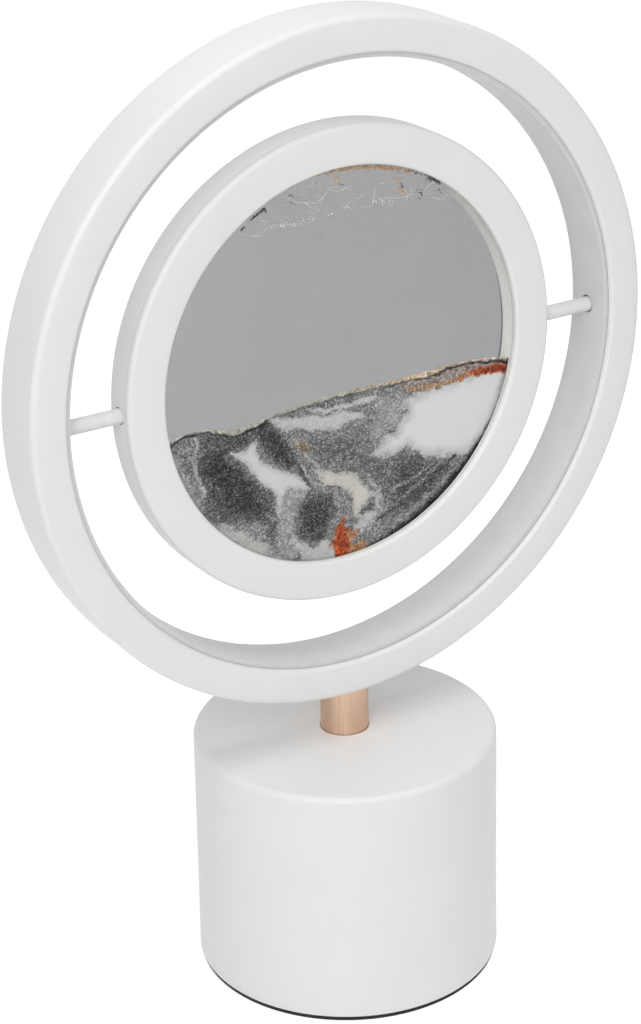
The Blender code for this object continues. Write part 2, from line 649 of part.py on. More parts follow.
tube(
    "threaded_rod", ROD_RADIUS, ROD_BORE_RADIUS, ROD_LOW, ROD_HIGH, ROD_FACETS, STEEL,
    edge=ROD_END_ROUND,
)
for name, low in (("low_washer", LOW_WASHER_TOP - WASHER_THICKNESS), ("high_washer", HIGH_WASHER_LOW)):
    tube(name, WASHER_RADIUS, ROD_HOLE_RADIUS, low, low + WASHER_THICKNESS, SMALL_FACETS * 2, STEEL)
for name, low, height in (
    ("low_nut", LOW_NUT_TOP - LOW_NUT_HEIGHT, LOW_NUT_HEIGHT),
    ("high_nut", HIGH_NUT_LOW, HIGH_NUT_HEIGHT),
):
    nut = plate(name, NUT_RADIUS, low, low + height, NUT_SIDES, STEEL)
    nut_bore = plate(
        f"{name}_bore", ROD_HOLE_RADIUS, low - OVERRUN, low + height + OVERRUN, ROD_FACETS,
        None, collection=CUTTERS,
    )
    boolean(nut, "DIFFERENCE", nut_bore)

# Post tube: anodised aluminium, its top end cut to the curve of the ring
POST_BOTTOM = BASE_HEIGHT - POST_SEAT_DEPTH + GAP
post_tube = tube(
    "post_tube", POST_RADIUS, POST_RADIUS - POST_WALL, POST_BOTTOM, RING_BOTTOM + OVERRUN, SMALL_FACETS * 2,
    ROSE_GOLD,
)
ring_curve = plate(
    "ring_curve", RING_OUTER_RADIUS + GAP, -RING_DEPTH, RING_DEPTH, RING_FACETS * 2, None,
    Matrix.Translation(RING_CENTRE) @ ALONG_Y, CUTTERS,
)
boolean(post_tube, "DIFFERENCE", ring_curve)

# Ring shell: front face and outer wall in one moulding, open at the back
RING_SCREW_HEAD = 0.0021
RING_SCREW_SHANK = 0.0011
RING_SCREW_LENGTH = 0.010
RING_BOSS_RADIUS = 0.0027
STRIP_THICKNESS = 0.0008
RING_SCREW_ANGLES = [math.radians(a) for a in (40, 140, 220, 320)]
STRIP_OUTER_RADIUS = CHANNEL_OUTER_RADIUS - GAP
STRIP_INNER_RADIUS = STRIP_OUTER_RADIUS - STRIP_THICKNESS
RING_BOSS_PLACE = (STRIP_INNER_RADIUS + CHANNEL_INNER_RADIUS) / 2 + GAP * 2
COVER_INNER = RING_HALF - RING_FACE_THICKNESS
ring_shell = turned(
    "ring_shell",
    [
        (RING_OUTER_RADIUS, RING_HALF, RING_REAR_ROUND),
        (RING_OUTER_RADIUS, -RING_HALF, RING_FRONT_ROUND),
        (LIP_RADIUS, -RING_HALF, RING_LIP_ROUND),
        (LIP_RADIUS, -CHANNEL_HALF),
        (CHANNEL_OUTER_RADIUS, -CHANNEL_HALF),
        (CHANNEL_OUTER_RADIUS, RING_HALF),
    ],
    RING_FACETS,
    WHITE_ABS,
    Matrix.Translation(RING_CENTRE) @ ALONG_Y,
)
land = box(
    "rod_land",
    (-LAND_HALF_WIDTH, -CHANNEL_HALF - GAP, RING_BOTTOM + RING_WALL / 2),
    (LAND_HALF_WIDTH, LAND_HALF_DEPTH - GAP, LAND_TOP),
)
boolean(ring_shell, "UNION", land)
ring_rod_hole = plate(
    "ring_rod_hole", ROD_HOLE_RADIUS, RING_BOTTOM - OVERRUN, LAND_TOP + OVERRUN, ROD_FACETS,
    None, collection=CUTTERS,
)
boolean(ring_shell, "DIFFERENCE", ring_rod_hole)
ring_screw_places = []
for screw_angle in RING_SCREW_ANGLES:
    ring_screw_places.append(round_the_ring(screw_angle, RING_BOSS_PLACE, RING_HALF))
for number, place in enumerate(ring_screw_places, start=1):
    boss = plate(
        f"ring_boss_{number}", RING_BOSS_RADIUS, -RING_DEPTH + RING_FACE_THICKNESS / 2,
        -RING_FACE_THICKNESS - GAP, SMALL_FACETS, None, place, CUTTERS,
    )
    pilot = plate(
        f"ring_pilot_{number}", RING_SCREW_SHANK + GAP, -RING_SCREW_LENGTH - GAP, OVERRUN, TINY_FACETS, None,
        place, CUTTERS,
    )
    boolean(ring_shell, "UNION", boss)
    boolean(ring_shell, "DIFFERENCE", pilot)

# Saddles for the pivot bushes stand on the ring's front wall, inside the light channel
BUSH_RADIUS = 0.0045
BUSH_END_GAP = 0.0003
SADDLE_HALF_HEIGHT = 0.0066
SADDLE_INNER = CHANNEL_INNER_RADIUS + DIFFUSER_WALL + GAP * 2
SADDLE_OUTER = math.sqrt(STRIP_INNER_RADIUS ** 2 - SADDLE_HALF_HEIGHT ** 2) - GAP * 2
SADDLE_DEPTH = BUSH_RADIUS + DIFFUSER_WALL
for name, side in (("left", -1), ("right", 1)):
    low_x, high_x = sorted((side * SADDLE_INNER, side * SADDLE_OUTER))
    saddle = box(
        f"saddle_{name}",
        (low_x, -CHANNEL_HALF - GAP, -SADDLE_HALF_HEIGHT),
        (high_x, SADDLE_DEPTH, SADDLE_HALF_HEIGHT),
        place=Matrix.Translation(RING_CENTRE),
    )
    bore_low, bore_high = sorted((side * (SADDLE_INNER - OVERRUN), side * (SADDLE_OUTER + GAP)))
    saddle_bore = plate(
        f"saddle_bore_{name}", BUSH_RADIUS + GAP, bore_low, bore_high, SMALL_FACETS, None,
        Matrix.Translation(RING_CENTRE) @ ALONG_X, CUTTERS,
    )
    boolean(ring_shell, "UNION", saddle)
    boolean(ring_shell, "DIFFERENCE", saddle_bore)
    bush_low, bush_high = sorted((side * (SADDLE_INNER + BUSH_END_GAP), side * (SADDLE_OUTER - BUSH_END_GAP)))
    tube(
        f"pivot_bush_{name}", BUSH_RADIUS, PIN_RADIUS + GAP, bush_low, bush_high, SMALL_FACETS, BLACK_NYLON,
        Matrix.Translation(RING_CENTRE) @ ALONG_X,
    )

# Ring rear cover: a flat ring let into the shell, held by four countersunk screws
ring_rear_cover = turned(
    "ring_rear_cover",
    [
        (CHANNEL_OUTER_RADIUS - GAP, RING_HALF),
        (CHANNEL_OUTER_RADIUS - GAP, COVER_INNER),
        (LIP_RADIUS, COVER_INNER),
        (LIP_RADIUS, RING_HALF, RING_LIP_ROUND),
    ],
    RING_FACETS,
    WHITE_ABS,
    Matrix.Translation(RING_CENTRE) @ ALONG_Y,
)
for number, place in enumerate(ring_screw_places, start=1):
    hole = countersunk_hole(
        f"ring_hole_{number}", RING_SCREW_HEAD, RING_SCREW_SHANK, RING_FACE_THICKNESS + OVERRUN / 2, place
    )
    boolean(ring_rear_cover, "DIFFERENCE", hole)
    countersunk_screw(f"ring_screw_{number}", RING_SCREW_HEAD, RING_SCREW_SHANK, RING_SCREW_LENGTH, place)

# Ring diffuser: an opal channel whose slightly crowned inner wall closes the light channel
DIFFUSER_HALF = CHANNEL_HALF - GAP
FLANGE_RADIUS = CHANNEL_INNER_RADIUS + DIFFUSER_WALL
FLANGE_THICKNESS = 0.0014
CROWN_SHARES = ((-1.0, 0.0), (-0.5, 0.75), (0.5, 0.75), (1.0, 0.0))
diffuser_profile = [
    (FLANGE_RADIUS, DIFFUSER_HALF),
    (FLANGE_RADIUS, DIFFUSER_HALF - FLANGE_THICKNESS),
    (CHANNEL_INNER_RADIUS, DIFFUSER_HALF - FLANGE_THICKNESS),
    (CHANNEL_INNER_RADIUS, FLANGE_THICKNESS - DIFFUSER_HALF),
    (FLANGE_RADIUS, FLANGE_THICKNESS - DIFFUSER_HALF),
    (FLANGE_RADIUS, -DIFFUSER_HALF),
]
for depth_share, crown_share in CROWN_SHARES:
    crown_radius = DIFFUSER_RADIUS + DIFFUSER_CROWN * (1 - crown_share)
    diffuser_profile.append((crown_radius, DIFFUSER_HALF * depth_share))
ring_diffuser = turned(
    "ring_diffuser", diffuser_profile, RING_FACETS, OPAL, Matrix.Translation(RING_CENTRE) @ ALONG_Y
)
PIN_HOLE_GAP = 0.0005
pin_passage = plate(
    "diffuser_pin_holes", PIN_RADIUS + PIN_HOLE_GAP, -RING_OUTER_RADIUS, RING_OUTER_RADIUS, SMALL_FACETS,
    None, Matrix.Translation(RING_CENTRE) @ ALONG_X, CUTTERS,
)
boolean(ring_diffuser, "DIFFERENCE", pin_passage)

# Light strip: a flexible band of LED chips stuck to the inside of the ring's outer wall
STRIP_HALF_WIDTH = 0.004
LED_COUNT = 36
LED_HALF_WIDTH = 0.0014
LED_HALF_LENGTH = 0.00175
LED_HEIGHT = 0.0008
STRIP_END_MARGIN = 0.0052
led_strip = tube(
    "led_strip", STRIP_OUTER_RADIUS, STRIP_INNER_RADIUS, -STRIP_HALF_WIDTH, STRIP_HALF_WIDTH, RING_FACETS,
    STRIP_WHITE, Matrix.Translation(RING_CENTRE) @ ALONG_Y,
)
STRIP_GAP_HALF = LAND_HALF_WIDTH + STRIP_END_MARGIN
strip_gap = box(
    "strip_gap",
    (-STRIP_GAP_HALF, -RING_DEPTH, RING_BOTTOM),
    (STRIP_GAP_HALF, RING_DEPTH, RING_BOTTOM + RING_BAND_WIDTH),
)
boolean(led_strip, "DIFFERENCE", strip_gap)
leds = bmesh.new()
for index in range(LED_COUNT):
    angle = (index + 0.5) * math.tau / LED_COUNT
    chip_low = STRIP_INNER_RADIUS - LED_HEIGHT
    from_bottom = math.cos(angle) * STRIP_INNER_RADIUS
    if math.sin(angle) < 0.0 and abs(from_bottom) < STRIP_GAP_HALF + LED_HALF_LENGTH * 2:
        continue
    made = bmesh.ops.create_cube(leds, size=1.0)
    size = Matrix.Diagonal((LED_HEIGHT + GAP, LED_HALF_WIDTH * 2, LED_HALF_LENGTH * 2, 1.0))
    middle = at(chip_low + (LED_HEIGHT + GAP) / 2, 0.0, 0.0)
    bmesh.ops.transform(leds, matrix=Matrix.Rotation(-angle, 4, "Y") @ middle @ size, verts=made["verts"])
led_mesh = bpy.data.meshes.new("led_chips")
leds.to_mesh(led_mesh)
leds.free()
led_chips = link("led_chips", led_mesh, None, CUTTERS)
led_chips.matrix_world = Matrix.Translation(RING_CENTRE)
boolean(led_strip, "UNION", led_chips)

# Supply lead: from the board's plug up through the hollow rod and over to the end of the light strip
LEAD_RADIUS = 0.0009
LEAD_BOARD_RUN = 0.006
LEAD_RISE = 0.012
LEAD_POINTS = 46
STRIP_END = STRIP_GAP_HALF + LEAD_RADIUS * 3
STRIP_END_HEIGHT = RING_CENTRE.z - math.sqrt(STRIP_INNER_RADIUS ** 2 - STRIP_END ** 2)
LEAD_TOP = ROD_HIGH + LEAD_RADIUS + GAP
plug_y = BOARD_FACE - PLUG_DEPTH - GAP
lead_z = BOARD_HIGH - PLUG_HEIGHT / 2
lead_route = [
    Vector((0.0, plug_y, lead_z)),
    Vector((0.0, plug_y - LEAD_BOARD_RUN, lead_z)),
    Vector((0.0, LEAD_BOARD_RUN, ROD_LOW - LEAD_RISE)),
    Vector((0.0, 0.0, ROD_LOW)),
    Vector((-LEAD_RADIUS, 0.0, (ROD_LOW + ROD_HIGH) / 2)),
    Vector((-LEAD_RADIUS, 0.0, ROD_HIGH - LEAD_RADIUS * 4)),
    Vector((LEAD_RADIUS * 3, 0.0, LEAD_TOP)),
    Vector((ROD_RADIUS + LEAD_RADIUS * 4, 0.0, LEAD_TOP - LEAD_RADIUS)),
    Vector((STRIP_END, 0.0, STRIP_END_HEIGHT + LEAD_RADIUS + GAP)),
]


def smooth_route(points, count):
    """Evenly counted points on a smooth curve through the given ones."""
    padded = [points[0] * 2 - points[1], *points, points[-1] * 2 - points[-2]]
    made = []
    spans = len(points) - 1
    for index in range(count):
        place = index * spans / (count - 1)
        span = min(int(place), spans - 1)
        t = place - span
        a, b, c, d = padded[span:span + 4]
        linear = (c - a) * t
        square = (a * 2 - b * 5 + c * 4 - d) * t ** 2
        cube = (b * 3 - a - c * 3 + d) * t ** 3
        made.append((b * 2 + linear + square + cube) / 2)
    return made


def wire(name, points, radius, material):
    """A round wire along a list of points, with closed ends, as a mesh."""
    curve = bpy.data.curves.new(name, "CURVE")
    curve.dimensions = "3D"
    curve.bevel_depth = radius
    curve.bevel_resolution = 2
    curve.use_fill_caps = True
    spline = curve.splines.new("POLY")
    spline.points.add(len(points) - 1)
    for target, source in zip(spline.points, points):
        target.co = (*source, 1.0)
    made = bpy.data.objects.new(name, curve)
    PARTS.objects.link(made)
    curve.materials.append(material)
    return made


wire("supply_lead", smooth_route(lead_route, LEAD_POINTS), LEAD_RADIUS, LEAD_WHITE)

# Sand frame: everything from here on turns with the pivot
frame_pivot = bpy.data.objects.new("frame_pivot", None)
PARTS.objects.link(frame_pivot)
frame_pivot.matrix_world = Matrix.Translation(RING_CENTRE)
bpy.context.view_layer.update()


def hang(piece, local):
    """Hangs a piece on the pivot, with its place given from the pivot."""
    piece.parent = frame_pivot
    piece.matrix_local = local
    return piece


# Frame bezel: the front ring, with four bosses that reach back to the housing
FRAME_SCREW_HEAD = 0.0018
FRAME_SCREW_SHANK = 0.0009
FRAME_SCREW_LENGTH = 0.0075
FRAME_BOSS_RADIUS = 0.0021
FRAME_BOSS_GAP = 0.0003
SEAM = -FRAME_HALF + FRAME_FACE_THICKNESS
HOUSING_INNER_RADIUS = FRAME_RADIUS - FRAME_WALL
FRAME_BOSS_PLACE = (GLASS_RADIUS + HOUSING_INNER_RADIUS) / 2
REAR_WALL_INNER = FRAME_HALF - FRAME_FACE_THICKNESS
FRAME_SCREW_ANGLES = [math.radians(a) for a in (45, 135, 225, 315)]
frame_bezel = hang(
    turned(
        "frame_bezel",
        [
            (FRAME_RADIUS, SEAM),
            (FRAME_RADIUS, -FRAME_HALF, FRAME_OUTER_ROUND),
            (WINDOW_RADIUS, -FRAME_HALF, FRAME_WINDOW_ROUND),
            (WINDOW_RADIUS, SEAM),
        ],
        FRAME_FACETS,
        WHITE_ABS,
    ),
    ALONG_Y,
)
frame_screw_places = []
for screw_angle in FRAME_SCREW_ANGLES:
    spot = at(math.cos(screw_angle) * FRAME_BOSS_PLACE, FRAME_HALF, math.sin(screw_angle) * FRAME_BOSS_PLACE)
    frame_screw_places.append(spot @ ALONG_Y)
for number, place in enumerate(frame_screw_places, start=1):
    boss = hang(
        plate(
            f"frame_boss_{number}", FRAME_BOSS_RADIUS, -FRAME_DEPTH + FRAME_FACE_THICKNESS / 2,
            -FRAME_FACE_THICKNESS - FRAME_BOSS_GAP, TINY_FACETS, None, collection=CUTTERS,
        ),
        place,
    )
    pilot = hang(
        plate(
            f"frame_pilot_{number}", FRAME_SCREW_SHANK + GAP, -FRAME_SCREW_LENGTH - GAP, OVERRUN, TINY_FACETS,
            None, collection=CUTTERS,
        ),
        place,
    )
    boolean(frame_bezel, "UNION", boss)
    boolean(frame_bezel, "DIFFERENCE", pilot)

# Frame housing: the rear half, with its outer wall and the holes for the two pins
frame_housing = hang(
    turned(
        "frame_housing",
        [
            (FRAME_RADIUS, FRAME_HALF, FRAME_OUTER_ROUND),
            (FRAME_RADIUS, SEAM + GAP),
            (HOUSING_INNER_RADIUS, SEAM + GAP),
            (HOUSING_INNER_RADIUS, REAR_WALL_INNER),
            (WINDOW_RADIUS, REAR_WALL_INNER),
            (WINDOW_RADIUS, FRAME_HALF, FRAME_WINDOW_ROUND),
        ],
        FRAME_FACETS,
        WHITE_ABS,
    ),
    ALONG_Y,
)
for number, place in enumerate(frame_screw_places, start=1):
    through = FRAME_FACE_THICKNESS + OVERRUN / 2
    hole = countersunk_hole(f"frame_hole_{number}", FRAME_SCREW_HEAD, FRAME_SCREW_SHANK, through, Matrix())
    hang(hole, place)
    boolean(frame_housing, "DIFFERENCE", hole)
    screw_place = Matrix.Translation(RING_CENTRE) @ place
    screw = countersunk_screw(
        f"frame_screw_{number}", FRAME_SCREW_HEAD, FRAME_SCREW_SHANK, FRAME_SCREW_LENGTH, screw_place
    )
    hang(screw, place)

# Pivot pins: moulded pins with a flange inside the housing wall, running in the ring's bushes
PIN_FLANGE_RADIUS = 0.0036
PIN_FLANGE_THICKNESS = 0.0016
PIN_END_ROUND = 0.0005
PIN_END_GAP = 0.0004
PIN_FLANGE_HIGH = HOUSING_INNER_RADIUS - GAP
PIN_FLANGE_LOW = PIN_FLANGE_HIGH - PIN_FLANGE_THICKNESS
PIN_TIP = SADDLE_OUTER - PIN_END_GAP
frame_pin_holes = hang(
    plate(
        "frame_pin_holes", PIN_RADIUS + GAP, -FRAME_RADIUS - OVERRUN, FRAME_RADIUS + OVERRUN, SMALL_FACETS,
        None, collection=CUTTERS,
    ),
    ALONG_X,
)
boolean(frame_housing, "DIFFERENCE", frame_pin_holes)
for name, facing in (("left", Matrix.Rotation(math.pi, 4, "Y")), ("right", Matrix())):
    hang(
        turned(
            f"pivot_pin_{name}",
            [
                (0.0, PIN_TIP),
                (PIN_RADIUS, PIN_TIP, PIN_END_ROUND),
                (PIN_RADIUS, PIN_FLANGE_HIGH),
                (PIN_FLANGE_RADIUS, PIN_FLANGE_HIGH),
                (PIN_FLANGE_RADIUS, PIN_FLANGE_LOW),
                (0.0, PIN_FLANGE_LOW),
            ],
            SMALL_FACETS,
            WHITE_PIN,
            closed=False,
        ),
        facing @ ALONG_X,
    )

# Sand cell: two glass discs on a spacer ring
GLASS_EDGE_ROUND = 0.0003
for name, side in (("front_glass", -1), ("rear_glass", 1)):
    near, far = sorted((side * GLASS_FRONT, side * (GLASS_FRONT - GLASS_THICKNESS)))
    hang(plate(name, GLASS_RADIUS, near, far, FRAME_FACETS, CLEAR_GLASS, edge=GLASS_EDGE_ROUND), ALONG_Y)
hang(
    tube(
        "spacer_ring", GLASS_RADIUS, WINDOW_RADIUS + SPACER_SETBACK, -CELL_HALF, CELL_HALF, FRAME_FACETS,
        SEAL_WHITE,
    ),
    ALONG_Y,
)

# Sand and liquid fill the cell
# The ridge between them is a line of hand-chosen places, as shares of the cell's radius.
RIDGE_SHARES = (
    (-0.90, -0.172),
    (-0.81, -0.152),
    (-0.73, -0.163),
    (-0.63, -0.197),
    (-0.53, -0.206),
    (-0.42, -0.172),
    (-0.30, -0.150),
    (-0.16, -0.140),
    (0.00, -0.144),
    (0.16, -0.158),
    (0.34, -0.158),
    (0.50, -0.150),
    (0.64, -0.141),
    (0.78, -0.146),
    (0.90, -0.160),
)
RIDGE_END_SHARES = (-0.195, -0.180)
ARC_STEPS = 40


def cell_fill(name, above, material):
    """A flat body that fills the cell above or below the ridge, up to the spacer's inner wall."""
    shift = GAP / 2 if above else -GAP / 2
    ends = []
    for side, share in zip((-1, 1), RIDGE_END_SHARES):
        height = CELL_RADIUS * share + shift
        ends.append((side * math.sqrt(CELL_RADIUS ** 2 - height ** 2), height))
    ridge = [ends[0]]
    ridge += [(CELL_RADIUS * x, CELL_RADIUS * z + shift) for x, z in RIDGE_SHARES]
    ridge.append(ends[1])
    start = math.atan2(ends[1][1], ends[1][0])
    finish = math.atan2(ends[0][1], ends[0][0])
    if above:
        finish = finish + math.tau if finish < start else finish
    else:
        finish = finish if finish < start else finish - math.tau
    outline = list(ridge)
    for step in range(1, ARC_STEPS):
        turn = start + (finish - start) * step / ARC_STEPS
        outline.append((math.cos(turn) * CELL_RADIUS, math.sin(turn) * CELL_RADIUS))
    curve = bpy.data.curves.new(name, "CURVE")
    curve.dimensions = "2D"
    curve.fill_mode = "BOTH"
    curve.extrude = CELL_HALF
    spline = curve.splines.new("POLY")
    spline.points.add(len(outline) - 1)
    for target, (x, z) in zip(spline.points, outline):
        target.co = (x, z, 0.0, 1.0)
    spline.use_cyclic_u = True
    curve.materials.append(material)
    made = bpy.data.objects.new(name, curve)
    PARTS.objects.link(made)
    return hang(made, FLAT_TO_FRONT)


cell_fill("sand_bed", False, SAND_GREY)
cell_fill("liquid", True, LIQUID_GREY)

bpy.context.view_layer.update()
for piece in PARTS.objects:
    if piece.type == "MESH" and piece.modifiers and piece.modifiers[0].type == "SCREW":
        piece.data.shade_smooth()
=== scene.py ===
# Moving sand lamp: the looks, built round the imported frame.
# Metres, +Z up, the front faces -Y. Each section is one piece, or one group of like pieces, in the
# order in which the lamp is put together.

import math

import bmesh
import bpy
import numpy as np
from mathutils import Matrix, Vector


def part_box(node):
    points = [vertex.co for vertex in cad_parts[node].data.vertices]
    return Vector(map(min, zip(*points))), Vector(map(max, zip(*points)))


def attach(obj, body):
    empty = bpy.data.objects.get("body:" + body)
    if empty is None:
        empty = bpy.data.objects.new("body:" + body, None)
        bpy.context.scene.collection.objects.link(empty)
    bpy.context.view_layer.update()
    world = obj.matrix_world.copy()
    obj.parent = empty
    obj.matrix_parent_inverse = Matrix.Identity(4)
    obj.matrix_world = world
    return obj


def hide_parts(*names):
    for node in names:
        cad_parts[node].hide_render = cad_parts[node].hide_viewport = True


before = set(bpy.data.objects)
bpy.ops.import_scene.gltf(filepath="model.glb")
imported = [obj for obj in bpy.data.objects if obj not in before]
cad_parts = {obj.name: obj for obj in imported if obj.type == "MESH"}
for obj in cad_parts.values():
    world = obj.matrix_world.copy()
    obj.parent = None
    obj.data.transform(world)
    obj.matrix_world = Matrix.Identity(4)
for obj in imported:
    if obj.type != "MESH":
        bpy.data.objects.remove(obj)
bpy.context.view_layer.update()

scene = bpy.context.scene


# Foot pad
# A disc of black closed-cell foam, punched from sheet and glued under the base plate. Only its edge
# shows, as a thin dark line below the white shell.
MM = 0.001
PAD_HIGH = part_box("foot_pad")[1]
PAD_OVERHANG = 1.1 * MM
PAD_EDGE = 0.3 * MM
UPRIGHT = Matrix()
ALONG_Y = Matrix.Rotation(-math.pi / 2, 4, "X")
ALONG_X = Matrix.Rotation(math.pi / 2, 4, "Y")


def hex_colour(code):
    """An sRGB hex colour as linear red, green, blue and alpha."""
    values = [int(code[place:place + 2], 16) / 255 for place in (1, 3, 5)]
    return (*[v / 12.92 if v <= 0.04045 else ((v + 0.055) / 1.055) ** 2.4 for v in values], 1.0)


def add(tree, kind, sockets=None, **settings):
    """Adds a node with its settings. Each socket gets a value, or the output that links to it."""
    made = tree.nodes.new(kind)
    for name, value in settings.items():
        setattr(made, name, value)
    for name, value in (sockets or {}).items():
        if isinstance(value, bpy.types.NodeSocket):
            tree.links.new(value, made.inputs[name])
        else:
            made.inputs[name].default_value = value
    return made


def new_material(name, **constants):
    """A material with one Principled shader, its plain values, and the Object coordinates."""
    made = bpy.data.materials.new(name)
    made.use_nodes = True
    tree = made.node_tree
    for socket, value in constants.items():
        tree.nodes["Principled BSDF"].inputs[socket.replace("_", " ")].default_value = value
    place = add(tree, "ShaderNodeTexCoord").outputs["Object"]
    return made, tree, place


def driven(material, **outputs):
    """The material, with outputs of its nodes linked to the named sockets of its shader."""
    tree = material.node_tree
    for socket, output in outputs.items():
        tree.links.new(output, tree.nodes["Principled BSDF"].inputs[socket.replace("_", " ")])
    return material


def blend_colours(tree, share, low, high):
    """One colour turning into another by a share from 0 to 1."""
    mix = add(tree, "ShaderNodeMix", {0: share, 6: low, 7: high}, data_type="RGBA")
    return mix.outputs[2]


def closed_cell_foam():
    """Closed-cell foam, cut from sheet: a dull black, with cut cells that catch a little light."""
    made, tree, place = new_material("closed_cell_foam", Roughness=0.92)
    cells = add(tree, "ShaderNodeTexVoronoi", {"Vector": place, "Scale": 1 / (0.5 * MM)})
    colour = blend_colours(tree, cells.outputs["Distance"], hex_colour("#171716"), hex_colour("#2e2d2a"))
    bump = add(tree, "ShaderNodeBump", {"Height": cells.outputs["Distance"], "Distance": 0.15 * MM})
    return driven(made, Base_Color=colour, Normal=bump.outputs["Normal"])


def new_group(name, result, **inputs):
    """A Geometry Nodes group with named inputs, each of a kind, and one shape as its result."""
    tree = bpy.data.node_groups.new(name, "GeometryNodeTree")
    for socket, kind in inputs.items():
        tree.interface.new_socket(socket.replace("_", " "), in_out="INPUT", socket_type="NodeSocket" + kind)
    tree.interface.new_socket(result, in_out="OUTPUT", socket_type="NodeSocketGeometry")
    return tree, add(tree, "NodeGroupInput").outputs


def send_out(tree, result, shape, finish):
    """Makes a shape real, gives it its finish and sends it out as the group's result."""
    real = add(tree, "GeometryNodeRealizeInstances", {"Geometry": shape})
    done = add(tree, "GeometryNodeSetMaterial", {"Geometry": real.outputs[0], "Material": finish})
    add(tree, "NodeGroupOutput", {result: done.outputs[0]})
    return tree


def turning_tree():
    """Geometry Nodes: sweeps an outline round an axis, closes its seam and gives it its finish."""
    tree, start = new_group(
        "turned_body", "Body", Outline="Object", Facets="Int", Seam="Float", Finish="Material"
    )
    outline = add(tree, "GeometryNodeObjectInfo", {"Object": start["Outline"]})
    section = add(tree, "GeometryNodeMeshToCurve", {"Mesh": outline.outputs["Geometry"]})
    path = add(tree, "GeometryNodeCurvePrimitiveCircle", {"Resolution": start["Facets"], "Radius": 1.0})
    swept = add(
        tree, "GeometryNodeCurveToMesh", {"Curve": path.outputs[0], "Profile Curve": section.outputs[0]}
    )
    closed = add(
        tree, "GeometryNodeMergeByDistance", {"Geometry": swept.outputs[0], "Distance": start["Seam"]}
    )
    return send_out(tree, "Body", closed.outputs[0], start["Finish"])


def grow(name, tree, inputs):
    """Runs a tree once with its named inputs, and keeps the result as an object with a plain mesh."""
    seed = bpy.data.objects.new(name + "_seed", bpy.data.meshes.new(name + "_seed"))
    scene.collection.objects.link(seed)
    modifier = seed.modifiers.new("grow", "NODES")
    modifier.node_group = tree
    for item in tree.interface.items_tree:
        if item.in_out == "INPUT" and item.name in inputs:
            modifier[item.identifier] = inputs[item.name]
    graph = bpy.context.evaluated_depsgraph_get()
    mesh = bpy.data.meshes.new_from_object(seed.evaluated_get(graph), depsgraph=graph)
    bpy.data.objects.remove(seed)
    made = bpy.data.objects.new(name, mesh)
    scene.collection.objects.link(made)
    return made


def rounded(corners, steps=7):
    """The points of an outline whose corners are (x, y) or (x, y, radius of the rounding)."""
    points = []
    for index, corner in enumerate(corners):
        here = Vector(corner[:2])
        if len(corner) == 2:
            points.append(here)
            continue
        before = (Vector(corners[index - 1][:2]) - here).normalized()
        after = (Vector(corners[(index + 1) % len(corners)][:2]) - here).normalized()
        half = before.angle(after) / 2
        middle = here + (before + after).normalized() * (corner[2] / math.sin(half))
        start = here + before * (corner[2] / math.tan(half)) - middle
        end = here + after * (corner[2] / math.tan(half)) - middle
        sweep = start.angle_signed(end)
        points += [middle + Matrix.Rotation(-sweep * step / steps, 2) @ start for step in range(steps + 1)]
    return points


def smooth(piece, angle=32):
    """Faces pointing out, smooth shading, and sharp edges where the faces meet at more than an angle."""
    shape = bmesh.new()
    shape.from_mesh(piece.data)
    bmesh.ops.remove_doubles(shape, verts=shape.verts, dist=0.002 * MM)
    bmesh.ops.recalc_face_normals(shape, faces=shape.faces)
    shape.to_mesh(piece.data)
    shape.free()
    piece.data.shade_smooth()
    piece.data.set_sharp_from_angle(angle=math.radians(angle))
    return piece


TURNING = turning_tree()


def turned(name, corners, finish, place=UPRIGHT, closed=True, facets=256, seam=0.002 * MM):
    """A turned piece from its half section, as (radius, height) corners with their roundings."""
    points = rounded(corners)
    edges = [(index, index + 1) for index in range(len(points) - 1)]
    if closed:
        edges.append((len(points) - 1, 0))
    section = bpy.data.meshes.new(name + "_outline")
    section.from_pydata([(radius - 1.0, -height, 0.0) for radius, height in points], edges, [])
    outline = bpy.data.objects.new(name + "_outline", section)
    scene.collection.objects.link(outline)
    inputs = {"Outline": outline, "Facets": facets, "Seam": seam, "Finish": finish}
    made = grow(name, TURNING, inputs)
    bpy.data.objects.remove(outline)
    made.data.transform(place)
    return smooth(made)


def peg(name, radius, high, low, place=UPRIGHT, facets=64):
    """A plain round peg along an axis, to be joined to a piece or cut from it."""
    outline = [(0, high), (radius, high), (radius, low), (0, low)]
    return turned(name, outline, None, place, closed=False, facets=facets)


def place_piece(piece, body, slot, *nodes):
    """The piece rides on its body and stands for its CAD nodes. The slot is not used."""
    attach(piece, body)
    if nodes:
        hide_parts(*nodes)


PAD_RADIUS = PAD_HIGH.x + PAD_OVERHANG
foot_pad = turned(
    "foot_pad",
    [(0, PAD_HIGH.z), (PAD_RADIUS, PAD_HIGH.z, PAD_EDGE), (PAD_RADIUS, 0, PAD_EDGE), (0, 0)],
    closed_cell_foam(),
    closed=False,
)
place_piece(foot_pad, "lamp_body", "foot_foam", "foot_pad")


# Base plate and its bushes' nylon
# The plate is a disc of black nylon with glass fibre, moulded, and screwed up into the shell from below.
# The two bushes that the frame's pins turn in are moulded in the same nylon.
def dress(material, *nodes):
    """Gives carried-over CAD nodes a material."""
    for name in nodes:
        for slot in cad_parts[name].material_slots:
            slot.material = material


